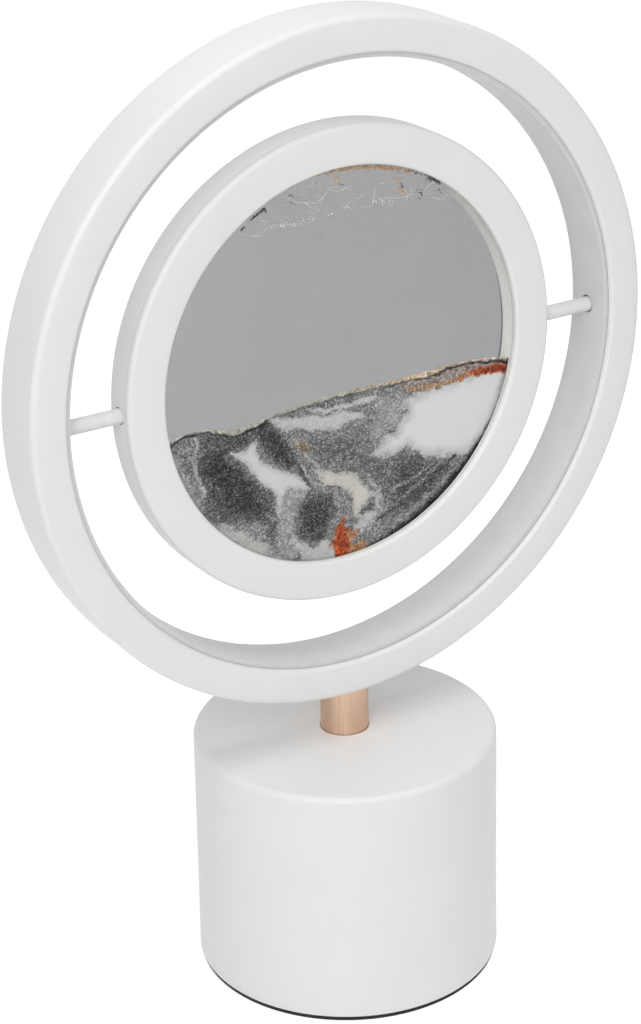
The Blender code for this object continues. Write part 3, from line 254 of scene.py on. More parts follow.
def filled_nylon():
    """Glass-filled nylon, moulded: near black, slightly greyed where the short fibres reach the skin."""
    made, tree, place = new_material("glass_filled_nylon", Roughness=0.5, IOR=1.53)
    fibres = add(tree, "ShaderNodeTexNoise", {"Vector": place, "Scale": 1 / (0.6 * MM), "Detail": 3.0})
    colour = blend_colours(tree, fibres.outputs["Fac"], hex_colour("#191a1c"), hex_colour("#34353a"))
    bump = add(tree, "ShaderNodeBump", {"Height": fibres.outputs["Fac"], "Distance": 0.02 * MM})
    return driven(made, Base_Color=colour, Normal=bump.outputs["Normal"])


BLACK_NYLON = filled_nylon()
dress(BLACK_NYLON, "base_plate", "switch_plunger", "pivot_bush_left", "pivot_bush_right")


# Base weight
# A thick iron disc, sand cast and dipped in black primer. One countersunk screw holds it to the plate,
# and it keeps the tall ring from tipping over.
def cast_iron():
    """Grey iron from a sand mould, under primer: dark, with the sand's pitted grain."""
    made, tree, place = new_material("sand_cast_iron", Metallic=0.3)
    pits = add(tree, "ShaderNodeTexNoise", {"Vector": place, "Scale": 1 / (1.4 * MM), "Detail": 6.0})
    colour = blend_colours(tree, pits.outputs["Fac"], hex_colour("#2a2b2d"), hex_colour("#55565a"))
    dull = add(tree, "ShaderNodeMapRange", {"Value": pits.outputs["Fac"], "To Min": 0.55, "To Max": 0.85})
    bump = add(tree, "ShaderNodeBump", {"Height": pits.outputs["Fac"], "Distance": 0.3 * MM})
    return driven(made, Base_Color=colour, Roughness=dull.outputs[0], Normal=bump.outputs["Normal"])


dress(cast_iron(), "base_weight")


# Screws, rod, nuts and washers
# Mild steel, turned or rolled and zinc plated. The hollow rod runs from the base's ceiling through the
# post into the ring's floor, with a nut and a washer at each end, and clamps the three together.
def zinc_plate():
    """Zinc on mild steel: a cool pale metal, clouded by the bath and lined by the tool. The lines are
    drawn coarser than real ones, so that they show."""
    made, tree, place = new_material("zinc_plated_steel", Metallic=1.0)
    clouds = add(tree, "ShaderNodeTexNoise", {"Vector": place, "Scale": 1 / (2.2 * MM), "Detail": 4.0})
    colour = blend_colours(tree, clouds.outputs["Fac"], hex_colour("#b4b7bb"), hex_colour("#d9dbdd"))
    dull = add(tree, "ShaderNodeMapRange", {"Value": clouds.outputs["Fac"], "To Min": 0.24, "To Max": 0.42})
    lines = add(
        tree, "ShaderNodeTexWave", {"Vector": place, "Scale": 1 / (3.0 * MM), "Distortion": 1.0},
        bands_direction="Z",
    )
    bump = add(tree, "ShaderNodeBump", {"Height": lines.outputs["Fac"], "Distance": 0.02 * MM})
    return driven(made, Base_Color=colour, Roughness=dull.outputs[0], Normal=bump.outputs["Normal"])


ZINC = zinc_plate()
dress(
    ZINC, "weight_screw", "base_screw_1", "base_screw_2", "base_screw_3", "board_screw_1", "board_screw_2",
    "threaded_rod", "low_nut", "low_washer", "high_nut", "high_washer", "tact_switch",
)


# Driver board
# A glass-epoxy board that stands behind the socket panel and feeds the light strip. Its parts are
# soldered to the inner face, and two screws hold it to the shell's bosses.
def solder_mask():
    """Green solder mask over etched copper: glossy, with paler tracks that run square to each other."""
    made, tree, place = new_material("green_solder_mask", Roughness=0.28, IOR=1.5)
    turned_place = add(tree, "ShaderNodeMapping", {"Vector": place, "Rotation": (math.pi / 2, 0, 0)})
    tracks = add(
        tree, "ShaderNodeTexBrick",
        {"Vector": turned_place.outputs[0], "Scale": 1 / (6 * MM), "Mortar Size": 0.06,
         "Color1": hex_colour("#17552f"), "Color2": hex_colour("#1b5f35"), "Mortar": hex_colour("#3d8a57")},
    )
    bump = add(tree, "ShaderNodeBump", {"Height": tracks.outputs["Fac"], "Distance": 0.04 * MM})
    return driven(made, Base_Color=tracks.outputs["Color"], Normal=bump.outputs["Normal"])


dress(solder_mask(), "driver_board")


# Power inlet
# A drawn shell of nickel-plated steel, soldered upright on the board, with a black tongue that carries
# twelve gold-plated contacts on each side.
INLET_LOW, INLET_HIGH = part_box("power_inlet")
INLET_WALL = 0.3 * MM
INLET_DEPTH = 6.5 * MM
FLAT_LEFT = 0.01 * MM
TONGUE_HALF = Vector((3.3 * MM, 0, 0.35 * MM))
TONGUE_SETBACK = 1.2 * MM
CONTACTS = 12
CONTACT_HALF = Vector((0.11 * MM, 2.2 * MM, 0.03 * MM))


def mesh_object(name, shape, finish):
    """An object from a bmesh, with its material."""
    mesh = bpy.data.meshes.new(name)
    shape.to_mesh(mesh)
    shape.free()
    made = bpy.data.objects.new(name, mesh)
    scene.collection.objects.link(made)
    if finish is not None:
        mesh.materials.append(finish)
    return made


def bar(name, half_width, half_height, corner, low, high, finish=None):
    """A bar along Y with a rounded rectangular section, centred on the Y axis."""
    section = rounded([
        (half_width, half_height, corner), (half_width, -half_height, corner),
        (-half_width, -half_height, corner), (-half_width, half_height, corner),
    ])
    shape = bmesh.new()
    face = shape.faces.new([shape.verts.new((x, low, z)) for x, z in section])
    pushed = bmesh.ops.extrude_face_region(shape, geom=[face])["geom"]
    corners = [item for item in pushed if isinstance(item, bmesh.types.BMVert)]
    bmesh.ops.translate(shape, vec=(0, high - low, 0), verts=corners)
    bmesh.ops.remove_doubles(shape, verts=shape.verts, dist=0.001 * MM)
    return smooth(mesh_object(name, shape, finish))


def carve(piece, operation, *tools):
    """Cuts the tools from a piece, or joins them to it, and keeps the result as a plain mesh."""
    for tool in tools:
        modifier = piece.modifiers.new("carve", "BOOLEAN")
        modifier.operation = operation
        modifier.object = tool
    graph = bpy.context.evaluated_depsgraph_get()
    mesh = bpy.data.meshes.new_from_object(piece.evaluated_get(graph), depsgraph=graph)
    piece.modifiers.clear()
    piece.data = mesh
    for tool in tools:
        bpy.data.objects.remove(tool)
    return smooth(piece)


def nickel_plate():
    """Bright nickel on drawn steel: a warm grey metal with faint lines along the draw, which are drawn
    coarser than real ones, so that they show."""
    made, tree, place = new_material("nickel_plated_steel", Metallic=1.0)
    along = add(tree, "ShaderNodeMapping", {"Vector": place, "Scale": (1, 0.05, 1)})
    lines = add(tree, "ShaderNodeTexNoise", {"Vector": along.outputs[0], "Scale": 1 / (0.2 * MM)})
    colour = blend_colours(tree, lines.outputs["Fac"], hex_colour("#a8a49c"), hex_colour("#cfcac1"))
    dull = add(tree, "ShaderNodeMapRange", {"Value": lines.outputs["Fac"], "To Min": 0.2, "To Max": 0.34})
    return driven(made, Base_Color=colour, Roughness=dull.outputs[0])


def contact_tongue():
    """Black moulded polymer, with gold on the contacts, which stand proud of its two faces."""
    made, tree, place = new_material("tongue_with_gold_contacts", Roughness=0.35)
    height = add(tree, "ShaderNodeSeparateXYZ", {"Vector": place}).outputs["Z"]
    from_middle = add(tree, "ShaderNodeMath", {0: height, 1: INLET_MIDDLE.z}, operation="SUBTRACT")
    distance = add(tree, "ShaderNodeMath", {0: from_middle.outputs[0]}, operation="ABSOLUTE")
    proud = TONGUE_HALF.z + CONTACT_HALF.z / 2
    gold = add(tree, "ShaderNodeMath", {0: distance.outputs[0], 1: proud}, operation="GREATER_THAN")
    colour = blend_colours(tree, gold.outputs[0], hex_colour("#1c1c1e"), hex_colour("#d8b06a"))
    return driven(made, Base_Color=colour, Metallic=gold.outputs[0])


INLET_MIDDLE = (INLET_LOW + INLET_HIGH) / 2
INLET_HALF = (INLET_HIGH - INLET_LOW) / 2
inlet_shell = bar(
    "power_inlet", INLET_HALF.x, INLET_HALF.z, INLET_HALF.z - FLAT_LEFT, INLET_LOW.y, INLET_HIGH.y,
    nickel_plate(),
)
inlet_bore = bar(
    "inlet_bore", INLET_HALF.x - INLET_WALL, INLET_HALF.z - INLET_WALL,
    INLET_HALF.z - INLET_WALL - FLAT_LEFT, INLET_HIGH.y - INLET_DEPTH, INLET_HIGH.y + MM,
)
carve(inlet_shell, "DIFFERENCE", inlet_bore)
tongue = bmesh.new()
tongue_low = INLET_HIGH.y - INLET_DEPTH + 0.02 * MM
tongue_high = INLET_HIGH.y - TONGUE_SETBACK
tongue_middle = Vector((0, (tongue_low + tongue_high) / 2, 0))
blocks = [(tongue_middle, Vector((TONGUE_HALF.x, (tongue_high - tongue_low) / 2, TONGUE_HALF.z)))]
for index in range(CONTACTS):
    across = (index - (CONTACTS - 1) / 2) * TONGUE_HALF.x * 1.7 / CONTACTS
    for side in (-1, 1):
        blocks.append((Vector((across, tongue_middle.y, side * TONGUE_HALF.z)), CONTACT_HALF))
for middle, half in blocks:
    size = Matrix.Diagonal((*(half * 2), 1))
    bmesh.ops.create_cube(tongue, size=1, matrix=Matrix.Translation(middle) @ size)
tongue = mesh_object("inlet_tongue", tongue, contact_tongue())
for piece in (inlet_shell, tongue):
    piece.data.transform(Matrix.Translation((INLET_MIDDLE.x, 0, INLET_MIDDLE.z)))
place_piece(inlet_shell, "lamp_body", "steel", "power_inlet")
place_piece(tongue, "lamp_body", "steel")


# Base shell
# A cup moulded in white ABS, open below, with three screw bosses and a thickened socket panel at the
# back. A satin white lacquer is sprayed over it, as over the ring and the sand frame.
BASE_LOW, BASE_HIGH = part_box("base_shell")
BASE_TOP_RADIUS = 49.7 * MM
BASE_WALL = 2.5 * MM
BASE_CEILING = 3.0 * MM
BASE_EDGE = 2.0 * MM
BASE_RIM = 0.4 * MM
SEAT_DEPTH = 0.6 * MM
BOSS_RADIUS = 4.4 * MM
BOSS_HEIGHT = 22 * MM
POCKET_HALF_WIDTH = 16 * MM
POCKET_HALF_HEIGHT = 9.5 * MM
POCKET_CORNER = 3 * MM
POCKET_DEPTH = 3.3 * MM
PANEL_WALL = 2.6 * MM
PANEL_MARGIN = 2.4 * MM
FIT = 0.3 * MM


def satin_white():
    """ABS under sprayed satin lacquer: a clean white with a low sheen and a very fine orange peel."""
    made, tree, place = new_material(
        "satin_white_abs", IOR=1.5, Coat_Weight=0.12, Coat_Roughness=0.3, Coat_IOR=1.5
    )
    peel = add(tree, "ShaderNodeTexNoise", {"Vector": place, "Scale": 1 / (0.9 * MM), "Detail": 3.0})
    drift = add(tree, "ShaderNodeTexNoise", {"Vector": place, "Scale": 1 / (26 * MM), "Detail": 2.0})
    colour = blend_colours(tree, drift.outputs["Fac"], hex_colour("#e4e4e4"), hex_colour("#eaeae9"))
    dull = add(tree, "ShaderNodeMapRange", {"Value": peel.outputs["Fac"], "To Min": 0.42, "To Max": 0.56})
    bump = add(
        tree, "ShaderNodeBump", {"Height": peel.outputs["Fac"], "Distance": 0.03 * MM, "Strength": 0.6}
    )
    return driven(made, Base_Color=colour, Roughness=dull.outputs[0], Normal=bump.outputs["Normal"])


WHITE = satin_white()
ROD_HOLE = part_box("threaded_rod")[1].x + FIT
BASE_RADIUS = BASE_HIGH.x
WALL_HALF = BASE_WALL / 2
base_shell = turned(
    "base_shell",
    [
        (ROD_HOLE, BASE_HIGH.z),
        (BASE_TOP_RADIUS, BASE_HIGH.z, BASE_EDGE),
        (BASE_RADIUS, BASE_LOW.z, BASE_RIM),
        (BASE_RADIUS - BASE_WALL, BASE_LOW.z),
        (BASE_TOP_RADIUS - BASE_WALL, BASE_HIGH.z - BASE_CEILING),
        (ROD_HOLE, BASE_HIGH.z - BASE_CEILING),
    ],
    WHITE,
    facets=320,
)
inner_limit = turned(
    "inner_limit",
    [
        (0, BASE_HIGH.z - MM),
        (BASE_TOP_RADIUS - WALL_HALF, BASE_HIGH.z - MM),
        (BASE_RADIUS - WALL_HALF, BASE_LOW.z + MM),
        (0, BASE_LOW.z + MM),
    ],
    None,
    closed=False,
    facets=160,
)
inside = []
for name in ("base_screw_1", "base_screw_2", "base_screw_3"):
    low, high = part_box(name)
    plate_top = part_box("base_plate")[1].z + FIT
    middle = Matrix.Translation(((low.x + high.x) / 2, (low.y + high.y) / 2, 0))
    inside.append(peg("boss", BOSS_RADIUS, plate_top + BOSS_HEIGHT, plate_top, middle, facets=40))
SOCKET_Z = INLET_MIDDLE.z
share_up = (SOCKET_Z - BASE_LOW.z) / (BASE_HIGH.z - BASE_LOW.z)
POCKET_FLOOR = BASE_RADIUS + (BASE_TOP_RADIUS - BASE_RADIUS) * share_up - POCKET_DEPTH
panel = bar(
    "panel", POCKET_HALF_WIDTH + PANEL_MARGIN, POCKET_HALF_HEIGHT + PANEL_MARGIN, MM,
    POCKET_FLOOR - PANEL_WALL, BASE_RADIUS + MM,
)
panel.data.transform(Matrix.Translation((0, 0, SOCKET_Z)))
inside.append(panel)
joined = inside[0]
carve(joined, "UNION", *inside[1:])
carve(joined, "INTERSECT", inner_limit)
carve(base_shell, "UNION", joined)
BUTTON_LOW, BUTTON_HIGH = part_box("power_button")
BUTTON_MIDDLE = (BUTTON_LOW + BUTTON_HIGH) / 2
CAP_RADIUS = 4.7 * MM
post_seat = peg(
    "post_seat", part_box("post_tube")[1].x + FIT, BASE_HIGH.z + MM, BASE_HIGH.z - SEAT_DEPTH, facets=120
)
pocket = bar(
    "pocket", POCKET_HALF_WIDTH, POCKET_HALF_HEIGHT, POCKET_CORNER, POCKET_FLOOR, BASE_RADIUS + 2 * MM
)
pocket.data.transform(Matrix.Translation((0, 0, SOCKET_Z)))
inlet_hole = bar(
    "inlet_hole", INLET_HALF.x + FIT, INLET_HALF.z + FIT, INLET_HALF.z + FIT - FLAT_LEFT,
    POCKET_FLOOR - PANEL_WALL - MM, POCKET_FLOOR + MM,
)
inlet_hole.data.transform(Matrix.Translation((INLET_MIDDLE.x, 0, SOCKET_Z)))
HOLE_EDGE = 0.4 * MM
button_hole = turned(
    "button_hole",
    [
        (0, POCKET_FLOOR + MM),
        (CAP_RADIUS + FIT + HOLE_EDGE + MM, POCKET_FLOOR + MM),
        (CAP_RADIUS + FIT, POCKET_FLOOR - HOLE_EDGE),
        (CAP_RADIUS + FIT, POCKET_FLOOR - PANEL_WALL - MM),
        (0, POCKET_FLOOR - PANEL_WALL - MM),
    ],
    None,
    Matrix.Translation((BUTTON_MIDDLE.x, 0, SOCKET_Z)) @ ALONG_Y,
    closed=False,
    facets=72,
)
carve(base_shell, "DIFFERENCE", post_seat, pocket, inlet_hole, button_hole)
place_piece(base_shell, "lamp_body", "white_shell", "base_shell")


# Power button
# A cap of black nylon with a dished face, moulded with the flange that keeps it behind the panel. Its
# stem presses the switch on the board.
CAP_EDGE = 0.6 * MM
CAP_DISH = 0.35 * MM
FLANGE_RADIUS = BUTTON_HIGH.x - BUTTON_MIDDLE.x
FLANGE_THICKNESS = 1.2 * MM
STEM_RADIUS = 1.9 * MM
flange_back = POCKET_FLOOR - PANEL_WALL - FIT
power_button = turned(
    "power_button",
    [
        (0, BUTTON_HIGH.y - CAP_DISH),
        (CAP_RADIUS * 0.4, BUTTON_HIGH.y - CAP_DISH * 0.85),
        (CAP_RADIUS * 0.75, BUTTON_HIGH.y - CAP_DISH * 0.2),
        (CAP_RADIUS, BUTTON_HIGH.y, CAP_EDGE),
        (CAP_RADIUS, flange_back),
        (FLANGE_RADIUS, flange_back),
        (FLANGE_RADIUS, flange_back - FLANGE_THICKNESS),
        (STEM_RADIUS, flange_back - FLANGE_THICKNESS),
        (STEM_RADIUS, BUTTON_LOW.y),
        (0, BUTTON_LOW.y),
    ],
    BLACK_NYLON,
    Matrix.Translation((BUTTON_MIDDLE.x, 0, SOCKET_Z)) @ ALONG_Y,
    closed=False,
    facets=72,
)
place_piece(power_button, "button", "black_nylon", "power_button")


# Post tube
# A short aluminium tube, drawn, brushed lengthwise and anodised rose gold. It stands in a shallow seat in
# the base, and its top end is cut to the curve of the ring.
RING_LOW, RING_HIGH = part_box("ring_shell")
RING_RADIUS = RING_HIGH.x
RING_CENTRE = Vector((0, 0, (RING_LOW.z + RING_HIGH.z) / 2))
POST_LOW, POST_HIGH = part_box("post_tube")
POST_WALL = 1.6 * MM


def rose_anodise():
    """Brushed and anodised aluminium: a pale pink gold, with fine lines that run up the tube. They are
    drawn coarser than real ones, so that they show."""
    made, tree, place = new_material("rose_gold_anodised_aluminium", Metallic=1.0)
    along = add(tree, "ShaderNodeMapping", {"Vector": place, "Scale": (1, 1, 0.03)})
    lines = add(
        tree, "ShaderNodeTexNoise", {"Vector": along.outputs[0], "Scale": 1 / (0.45 * MM), "Detail": 5.0}
    )
    colour = blend_colours(tree, lines.outputs["Fac"], hex_colour("#c79f84"), hex_colour("#ecd0bb"))
    dull = add(tree, "ShaderNodeMapRange", {"Value": lines.outputs["Fac"], "To Min": 0.26, "To Max": 0.46})
    bump = add(tree, "ShaderNodeBump", {"Height": lines.outputs["Fac"], "Distance": 0.02 * MM})
    return driven(made, Base_Color=colour, Roughness=dull.outputs[0], Normal=bump.outputs["Normal"])


post_radius = POST_HIGH.x
post_tube = turned(
    "post_tube",
    [
        (post_radius, POST_HIGH.z),
        (post_radius, POST_LOW.z),
        (post_radius - POST_WALL, POST_LOW.z),
        (post_radius - POST_WALL, POST_HIGH.z),
    ],
    rose_anodise(),
    facets=120,
)
for corner in post_tube.data.vertices:
    if corner.co.z > (POST_LOW.z + POST_HIGH.z) / 2:
        corner.co.z = RING_CENTRE.z - math.sqrt((RING_RADIUS + FIT) ** 2 - corner.co.x ** 2)
place_piece(post_tube, "lamp_body", "rose_gold", "post_tube")


# Supply lead
# A thin white lead in soft PVC, from the board's plug up through the hollow rod to the light strip.
def soft_pvc():
    """Extruded PVC: a warm white, slightly translucent, with faint marks along the lead."""
    made, tree, place = new_material("white_pvc_jacket", Roughness=0.45)
    marks = add(tree, "ShaderNodeTexNoise", {"Vector": place, "Scale": 1 / (1.5 * MM), "Detail": 2.0})
    colour = blend_colours(tree, marks.outputs["Fac"], hex_colour("#d8d7d2"), hex_colour("#efeee9"))
    return driven(made, Base_Color=colour)


dress(soft_pvc(), "supply_lead")


# Ring shell
# The ring's front face and outer wall, moulded in one in white ABS and lacquered. It is open at the back,
# and everything that the ring holds goes in from there.
RING_HALF = RING_HIGH.y
RING_BAND = 11.7 * MM
RING_WALL = 2.2 * MM
RING_FACE = 1.6 * MM
RING_FRONT_ROUND = 2.0 * MM
RING_REAR_ROUND = 1.2 * MM
RING_LIP_ROUND = 1.3 * MM
LIP_RADIUS = RING_RADIUS - RING_BAND
IN_RING = Matrix.Translation(RING_CENTRE) @ ALONG_Y
ring_shell = turned(
    "ring_shell",
    [
        (RING_RADIUS, RING_HALF, RING_REAR_ROUND),
        (RING_RADIUS, -RING_HALF, RING_FRONT_ROUND),
        (LIP_RADIUS, -RING_HALF, RING_LIP_ROUND),
        (LIP_RADIUS, -RING_HALF + RING_FACE),
        (RING_RADIUS - RING_WALL, -RING_HALF + RING_FACE),
        (RING_RADIUS - RING_WALL, RING_HALF),
    ],
    WHITE,
    IN_RING,
    facets=480,
)
place_piece(ring_shell, "lamp_body", "white_shell", "ring_shell")


# Light strip
# A flexible white circuit with yellow phosphor lamps, stuck round the inside of the ring's outer wall.
def strip_and_lamps():
    """Matt white solder mask, with the amber gel of the lamps on the side that faces inwards."""
    made, tree, place = new_material("light_strip_with_lamps", Roughness=0.5)
    centred = add(tree, "ShaderNodeMapping", {"Vector": place, "Location": tuple(-RING_CENTRE)})
    flat = add(
        tree, "ShaderNodeVectorMath", {0: centred.outputs[0], 1: (1, 0, 1)}, operation="MULTIPLY"
    )
    radius = add(tree, "ShaderNodeVectorMath", {0: flat.outputs[0]}, operation="LENGTH")
    lamp = add(
        tree, "ShaderNodeMath", {0: radius.outputs["Value"], 1: STRIP_INNER}, operation="LESS_THAN"
    )
    colour = blend_colours(tree, lamp.outputs[0], hex_colour("#e6e5df"), hex_colour("#dcc463"))
    return driven(made, Base_Color=colour)


CHIP_HEIGHT = 0.95 * MM
STRIP_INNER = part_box("led_strip")[1].x - CHIP_HEIGHT
dress(strip_and_lamps(), "led_strip")


# Ring diffuser
# A channel extruded in opal polycarbonate and bent round, with a slightly crowned face. It closes the
# ring on the inside and spreads the strip's light.
DIFFUSER_RADIUS = 96.2 * MM
DIFFUSER_WALL = 1.8 * MM
DIFFUSER_HALF = 8.4 * MM
DIFFUSER_CROWN = 0.5 * MM
FLANGE = 1.4 * MM
PIN_CLEARANCE = 0.5 * MM
PIN_LOW, PIN_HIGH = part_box("pivot_pin_right")
PIN_RADIUS = 2.4 * MM


def opal_polycarbonate():
    """Opal polycarbonate: milky and unlit, a shade greyer than the lacquer, with a soft skin."""
    made, tree, place = new_material("opal_polycarbonate", Roughness=0.5, IOR=1.58)
    milk = add(tree, "ShaderNodeTexNoise", {"Vector": place, "Scale": 1 / (9 * MM), "Detail": 2.0})
    skin = add(tree, "ShaderNodeTexNoise", {"Vector": place, "Scale": 1 / (0.5 * MM), "Detail": 2.0})
    colour = blend_colours(tree, milk.outputs["Fac"], hex_colour("#cfcfce"), hex_colour("#d9d9d8"))
    bump = add(tree, "ShaderNodeBump", {"Height": skin.outputs["Fac"], "Distance": 0.02 * MM})
    return driven(made, Base_Color=colour, Normal=bump.outputs["Normal"])


flange_radius = DIFFUSER_RADIUS + 2 * DIFFUSER_WALL
channel_radius = DIFFUSER_RADIUS + DIFFUSER_WALL
diffuser_outline = [
    (flange_radius, DIFFUSER_HALF),
    (flange_radius, DIFFUSER_HALF - FLANGE),
    (channel_radius, DIFFUSER_HALF - FLANGE),
    (channel_radius, FLANGE - DIFFUSER_HALF),
    (flange_radius, FLANGE - DIFFUSER_HALF),
    (flange_radius, -DIFFUSER_HALF),
]
CROWN_STEPS = 12
for step in range(CROWN_STEPS + 1):
    share = 2 * step / CROWN_STEPS - 1
    diffuser_outline.append((DIFFUSER_RADIUS + DIFFUSER_CROWN * share ** 4, DIFFUSER_HALF * share))
ring_diffuser = turned("ring_diffuser", diffuser_outline, opal_polycarbonate(), IN_RING, facets=480)
HINGE_AXIS = Matrix.Translation(RING_CENTRE) @ ALONG_X
pin_holes = peg("pin_holes", PIN_RADIUS + PIN_CLEARANCE, RING_RADIUS, -RING_RADIUS, HINGE_AXIS)
carve(ring_diffuser, "DIFFERENCE", pin_holes)
place_piece(ring_diffuser, "lamp_body", "opal", "ring_diffuser")


# Ring rear cover and its screws
# A flat moulded ring, let into the back of the shell and lacquered with it. Four countersunk screws with
# cross recesses hold it to bosses on the front face.
def screw_tree():
    """Geometry Nodes: sets a screw on each side of both ends of a level line through a centre."""
    tree, start = new_group(
        "screws_round_a_circle", "Screws",
        Screw="Object", Count="Int", Radius="Float", Half_Angle="Float", Finish="Material",
    )

    def maths(operation, first, second=0.0):
        return add(tree, "ShaderNodeMath", {0: first, 1: second}, operation=operation).outputs[0]

    index = add(tree, "GeometryNodeInputIndex").outputs[0]
    odd = maths("MODULO", index, 2.0)
    far = maths("FLOOR", maths("DIVIDE", index, 2.0))
    side = maths("SUBTRACT", 1.0, maths("MULTIPLY", odd, 2.0))
    angle = maths("ADD", maths("MULTIPLY", far, math.pi), maths("MULTIPLY", side, start["Half Angle"]))
    place = add(
        tree, "ShaderNodeCombineXYZ",
        {"X": maths("MULTIPLY", maths("COSINE", angle), start["Radius"]),
         "Z": maths("MULTIPLY", maths("SINE", angle), start["Radius"])},
    )
    turn = add(
        tree, "FunctionNodeRandomValue", {"Min": 0.0, "Max": math.pi, "ID": index, "Seed": 5},
        data_type="FLOAT",
    )
    twist = add(tree, "ShaderNodeCombineXYZ", {"Y": turn.outputs[1]})
    points = add(tree, "GeometryNodePoints", {"Count": start["Count"], "Position": place.outputs[0]})
    screw = add(tree, "GeometryNodeObjectInfo", {"Object": start["Screw"]})
    copies = add(
        tree, "GeometryNodeInstanceOnPoints",
        {"Points": points.outputs[0], "Instance": screw.outputs["Geometry"], "Rotation": twist.outputs[0]},
    )
    return send_out(tree, "Screws", copies.outputs[0], start["Finish"])


SCREWING = screw_tree()
SCREW_COUNT = 4
SHANK_SHARE = 0.52
HEAD_RIM = 0.12 * MM
HEAD_ROUND = 0.05 * MM
RECESS_LENGTH_SHARE = 0.58
RECESS_WIDTH_SHARE = 0.13
RECESS_DEPTH_SHARE = 0.75


def screws(name, node, head_radius, level, body, nodes):
    """Countersunk screws round a circle, with their heads at one level and pointing to the back."""
    low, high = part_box(node)
    middle = (low + high) / 2 - RING_CENTRE
    shank = head_radius * SHANK_SHARE
    cone = head_radius - shank
    length = high.y - low.y
    one = turned(
        name + "_one",
        [
            (0, 0),
            (head_radius - HEAD_ROUND, 0, HEAD_ROUND),
            (head_radius, -HEAD_RIM),
            (shank, -cone - HEAD_RIM),
            (shank, shank - length),
            (0, -length),
        ],
        None,
        ALONG_Y,
        closed=False,
        facets=40,
    )
    arm = head_radius * RECESS_LENGTH_SHARE
    width = head_radius * RECESS_WIDTH_SHARE
    for half_x, half_z in ((arm, width), (width, arm)):
        slot = bar("recess", half_x, half_z, width / 3, -cone * RECESS_DEPTH_SHARE, MM)
        carve(one, "DIFFERENCE", slot)
    inputs = {
        "Screw": one, "Count": SCREW_COUNT, "Radius": math.hypot(middle.x, middle.z),
        "Half Angle": math.atan2(abs(middle.z), abs(middle.x)), "Finish": ZINC,
    }
    made = grow(name, SCREWING, inputs)
    bpy.data.objects.remove(one)
    made.data.transform(Matrix.Translation((0, level, RING_CENTRE.z)))
    place_piece(smooth(made), body, "steel", *nodes)


def screw_holes(node_names, head_radius, level, through):
    """Cutters for countersunk holes at the places of the frame's screws."""
    made = []
    for name in node_names:
        low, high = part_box(name)
        middle = (low + high) / 2
        wide = head_radius + FIT / 3
        narrow = head_radius * SHANK_SHARE + FIT
        made.append(turned(
            "screw_hole",
            [
                (0, MM), (wide, MM), (wide, -HEAD_RIM),
                (narrow, narrow - wide), (narrow, -through), (0, -through),
            ],
            None,
            Matrix.Translation((middle.x, level, middle.z)) @ ALONG_Y,
            closed=False,
            facets=40,
        ))
    return made


RING_SCREWS = ("ring_screw_1", "ring_screw_2", "ring_screw_3", "ring_screw_4")
RING_SCREW_HEAD = 2.1 * MM
cover_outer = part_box("ring_rear_cover")[1].x
ring_rear_cover = turned(
    "ring_rear_cover",
    [
        (cover_outer, RING_HALF, 0.2 * MM),
        (cover_outer, RING_HALF - RING_FACE),
        (LIP_RADIUS, RING_HALF - RING_FACE),
        (LIP_RADIUS, RING_HALF, RING_LIP_ROUND),
    ],
    WHITE,
    IN_RING,
    facets=480,
)
carve(
    ring_rear_cover, "DIFFERENCE", *screw_holes(RING_SCREWS, RING_SCREW_HEAD, RING_HALF, RING_FACE + MM)
)
place_piece(ring_rear_cover, "lamp_body", "white_shell", "ring_rear_cover")
screws("ring_screws", "ring_screw_1", RING_SCREW_HEAD, RING_HALF, "lamp_body", RING_SCREWS)


# Sand frame: bezel and housing
# Two white ABS mouldings that close on the glass cell: a flat front ring, and a rear half with the outer
# wall. They meet at a fine seam near the front, and four screws from the back pull them together.
FRAME_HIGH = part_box("frame_housing")[1]
FRAME_RADIUS = FRAME_HIGH.x
FRAME_HALF = FRAME_HIGH.y
FRAME_BAND = 12.75 * MM
WINDOW_RADIUS = FRAME_RADIUS - FRAME_BAND
FRAME_WALL = 2.25 * MM
FRAME_FACE = 1.85 * MM
FRAME_OUTER_ROUND = 1.5 * MM
FRAME_WINDOW_ROUND = 1.1 * MM
SEAM = -FRAME_HALF + FRAME_FACE
FRAME_SCREWS = ("frame_screw_1", "frame_screw_2", "frame_screw_3", "frame_screw_4")
FRAME_SCREW_HEAD = 1.8 * MM
frame_bezel = turned(
    "frame_bezel",
    [
        (FRAME_RADIUS, SEAM),
        (FRAME_RADIUS, -FRAME_HALF, FRAME_OUTER_ROUND),
        (WINDOW_RADIUS, -FRAME_HALF, FRAME_WINDOW_ROUND),
        (WINDOW_RADIUS, SEAM),
    ],
    WHITE,
    IN_RING,
    facets=480,
)
frame_housing = turned(
    "frame_housing",
    [
        (FRAME_RADIUS, FRAME_HALF, FRAME_OUTER_ROUND),
        (FRAME_RADIUS, SEAM + FIT),
        (FRAME_RADIUS - FRAME_WALL, SEAM + FIT),
        (FRAME_RADIUS - FRAME_WALL, FRAME_HALF - FRAME_FACE),
        (WINDOW_RADIUS, FRAME_HALF - FRAME_FACE),
        (WINDOW_RADIUS, FRAME_HALF, FRAME_WINDOW_ROUND),
    ],
    WHITE,
    IN_RING,
    facets=480,
)
frame_pin_holes = peg(
    "frame_pin_holes", PIN_RADIUS + FIT, FRAME_RADIUS + MM, -FRAME_RADIUS - MM, HINGE_AXIS
)
carve(
    frame_housing, "DIFFERENCE", frame_pin_holes,
    *screw_holes(FRAME_SCREWS, FRAME_SCREW_HEAD, FRAME_HALF, FRAME_FACE + MM),
)
place_piece(frame_bezel, "sand_frame", "white_shell", "frame_bezel")
place_piece(frame_housing, "sand_frame", "white_shell", "frame_housing")
screws("frame_screws", "frame_screw_1", FRAME_SCREW_HEAD, FRAME_HALF, "sand_frame", FRAME_SCREWS)


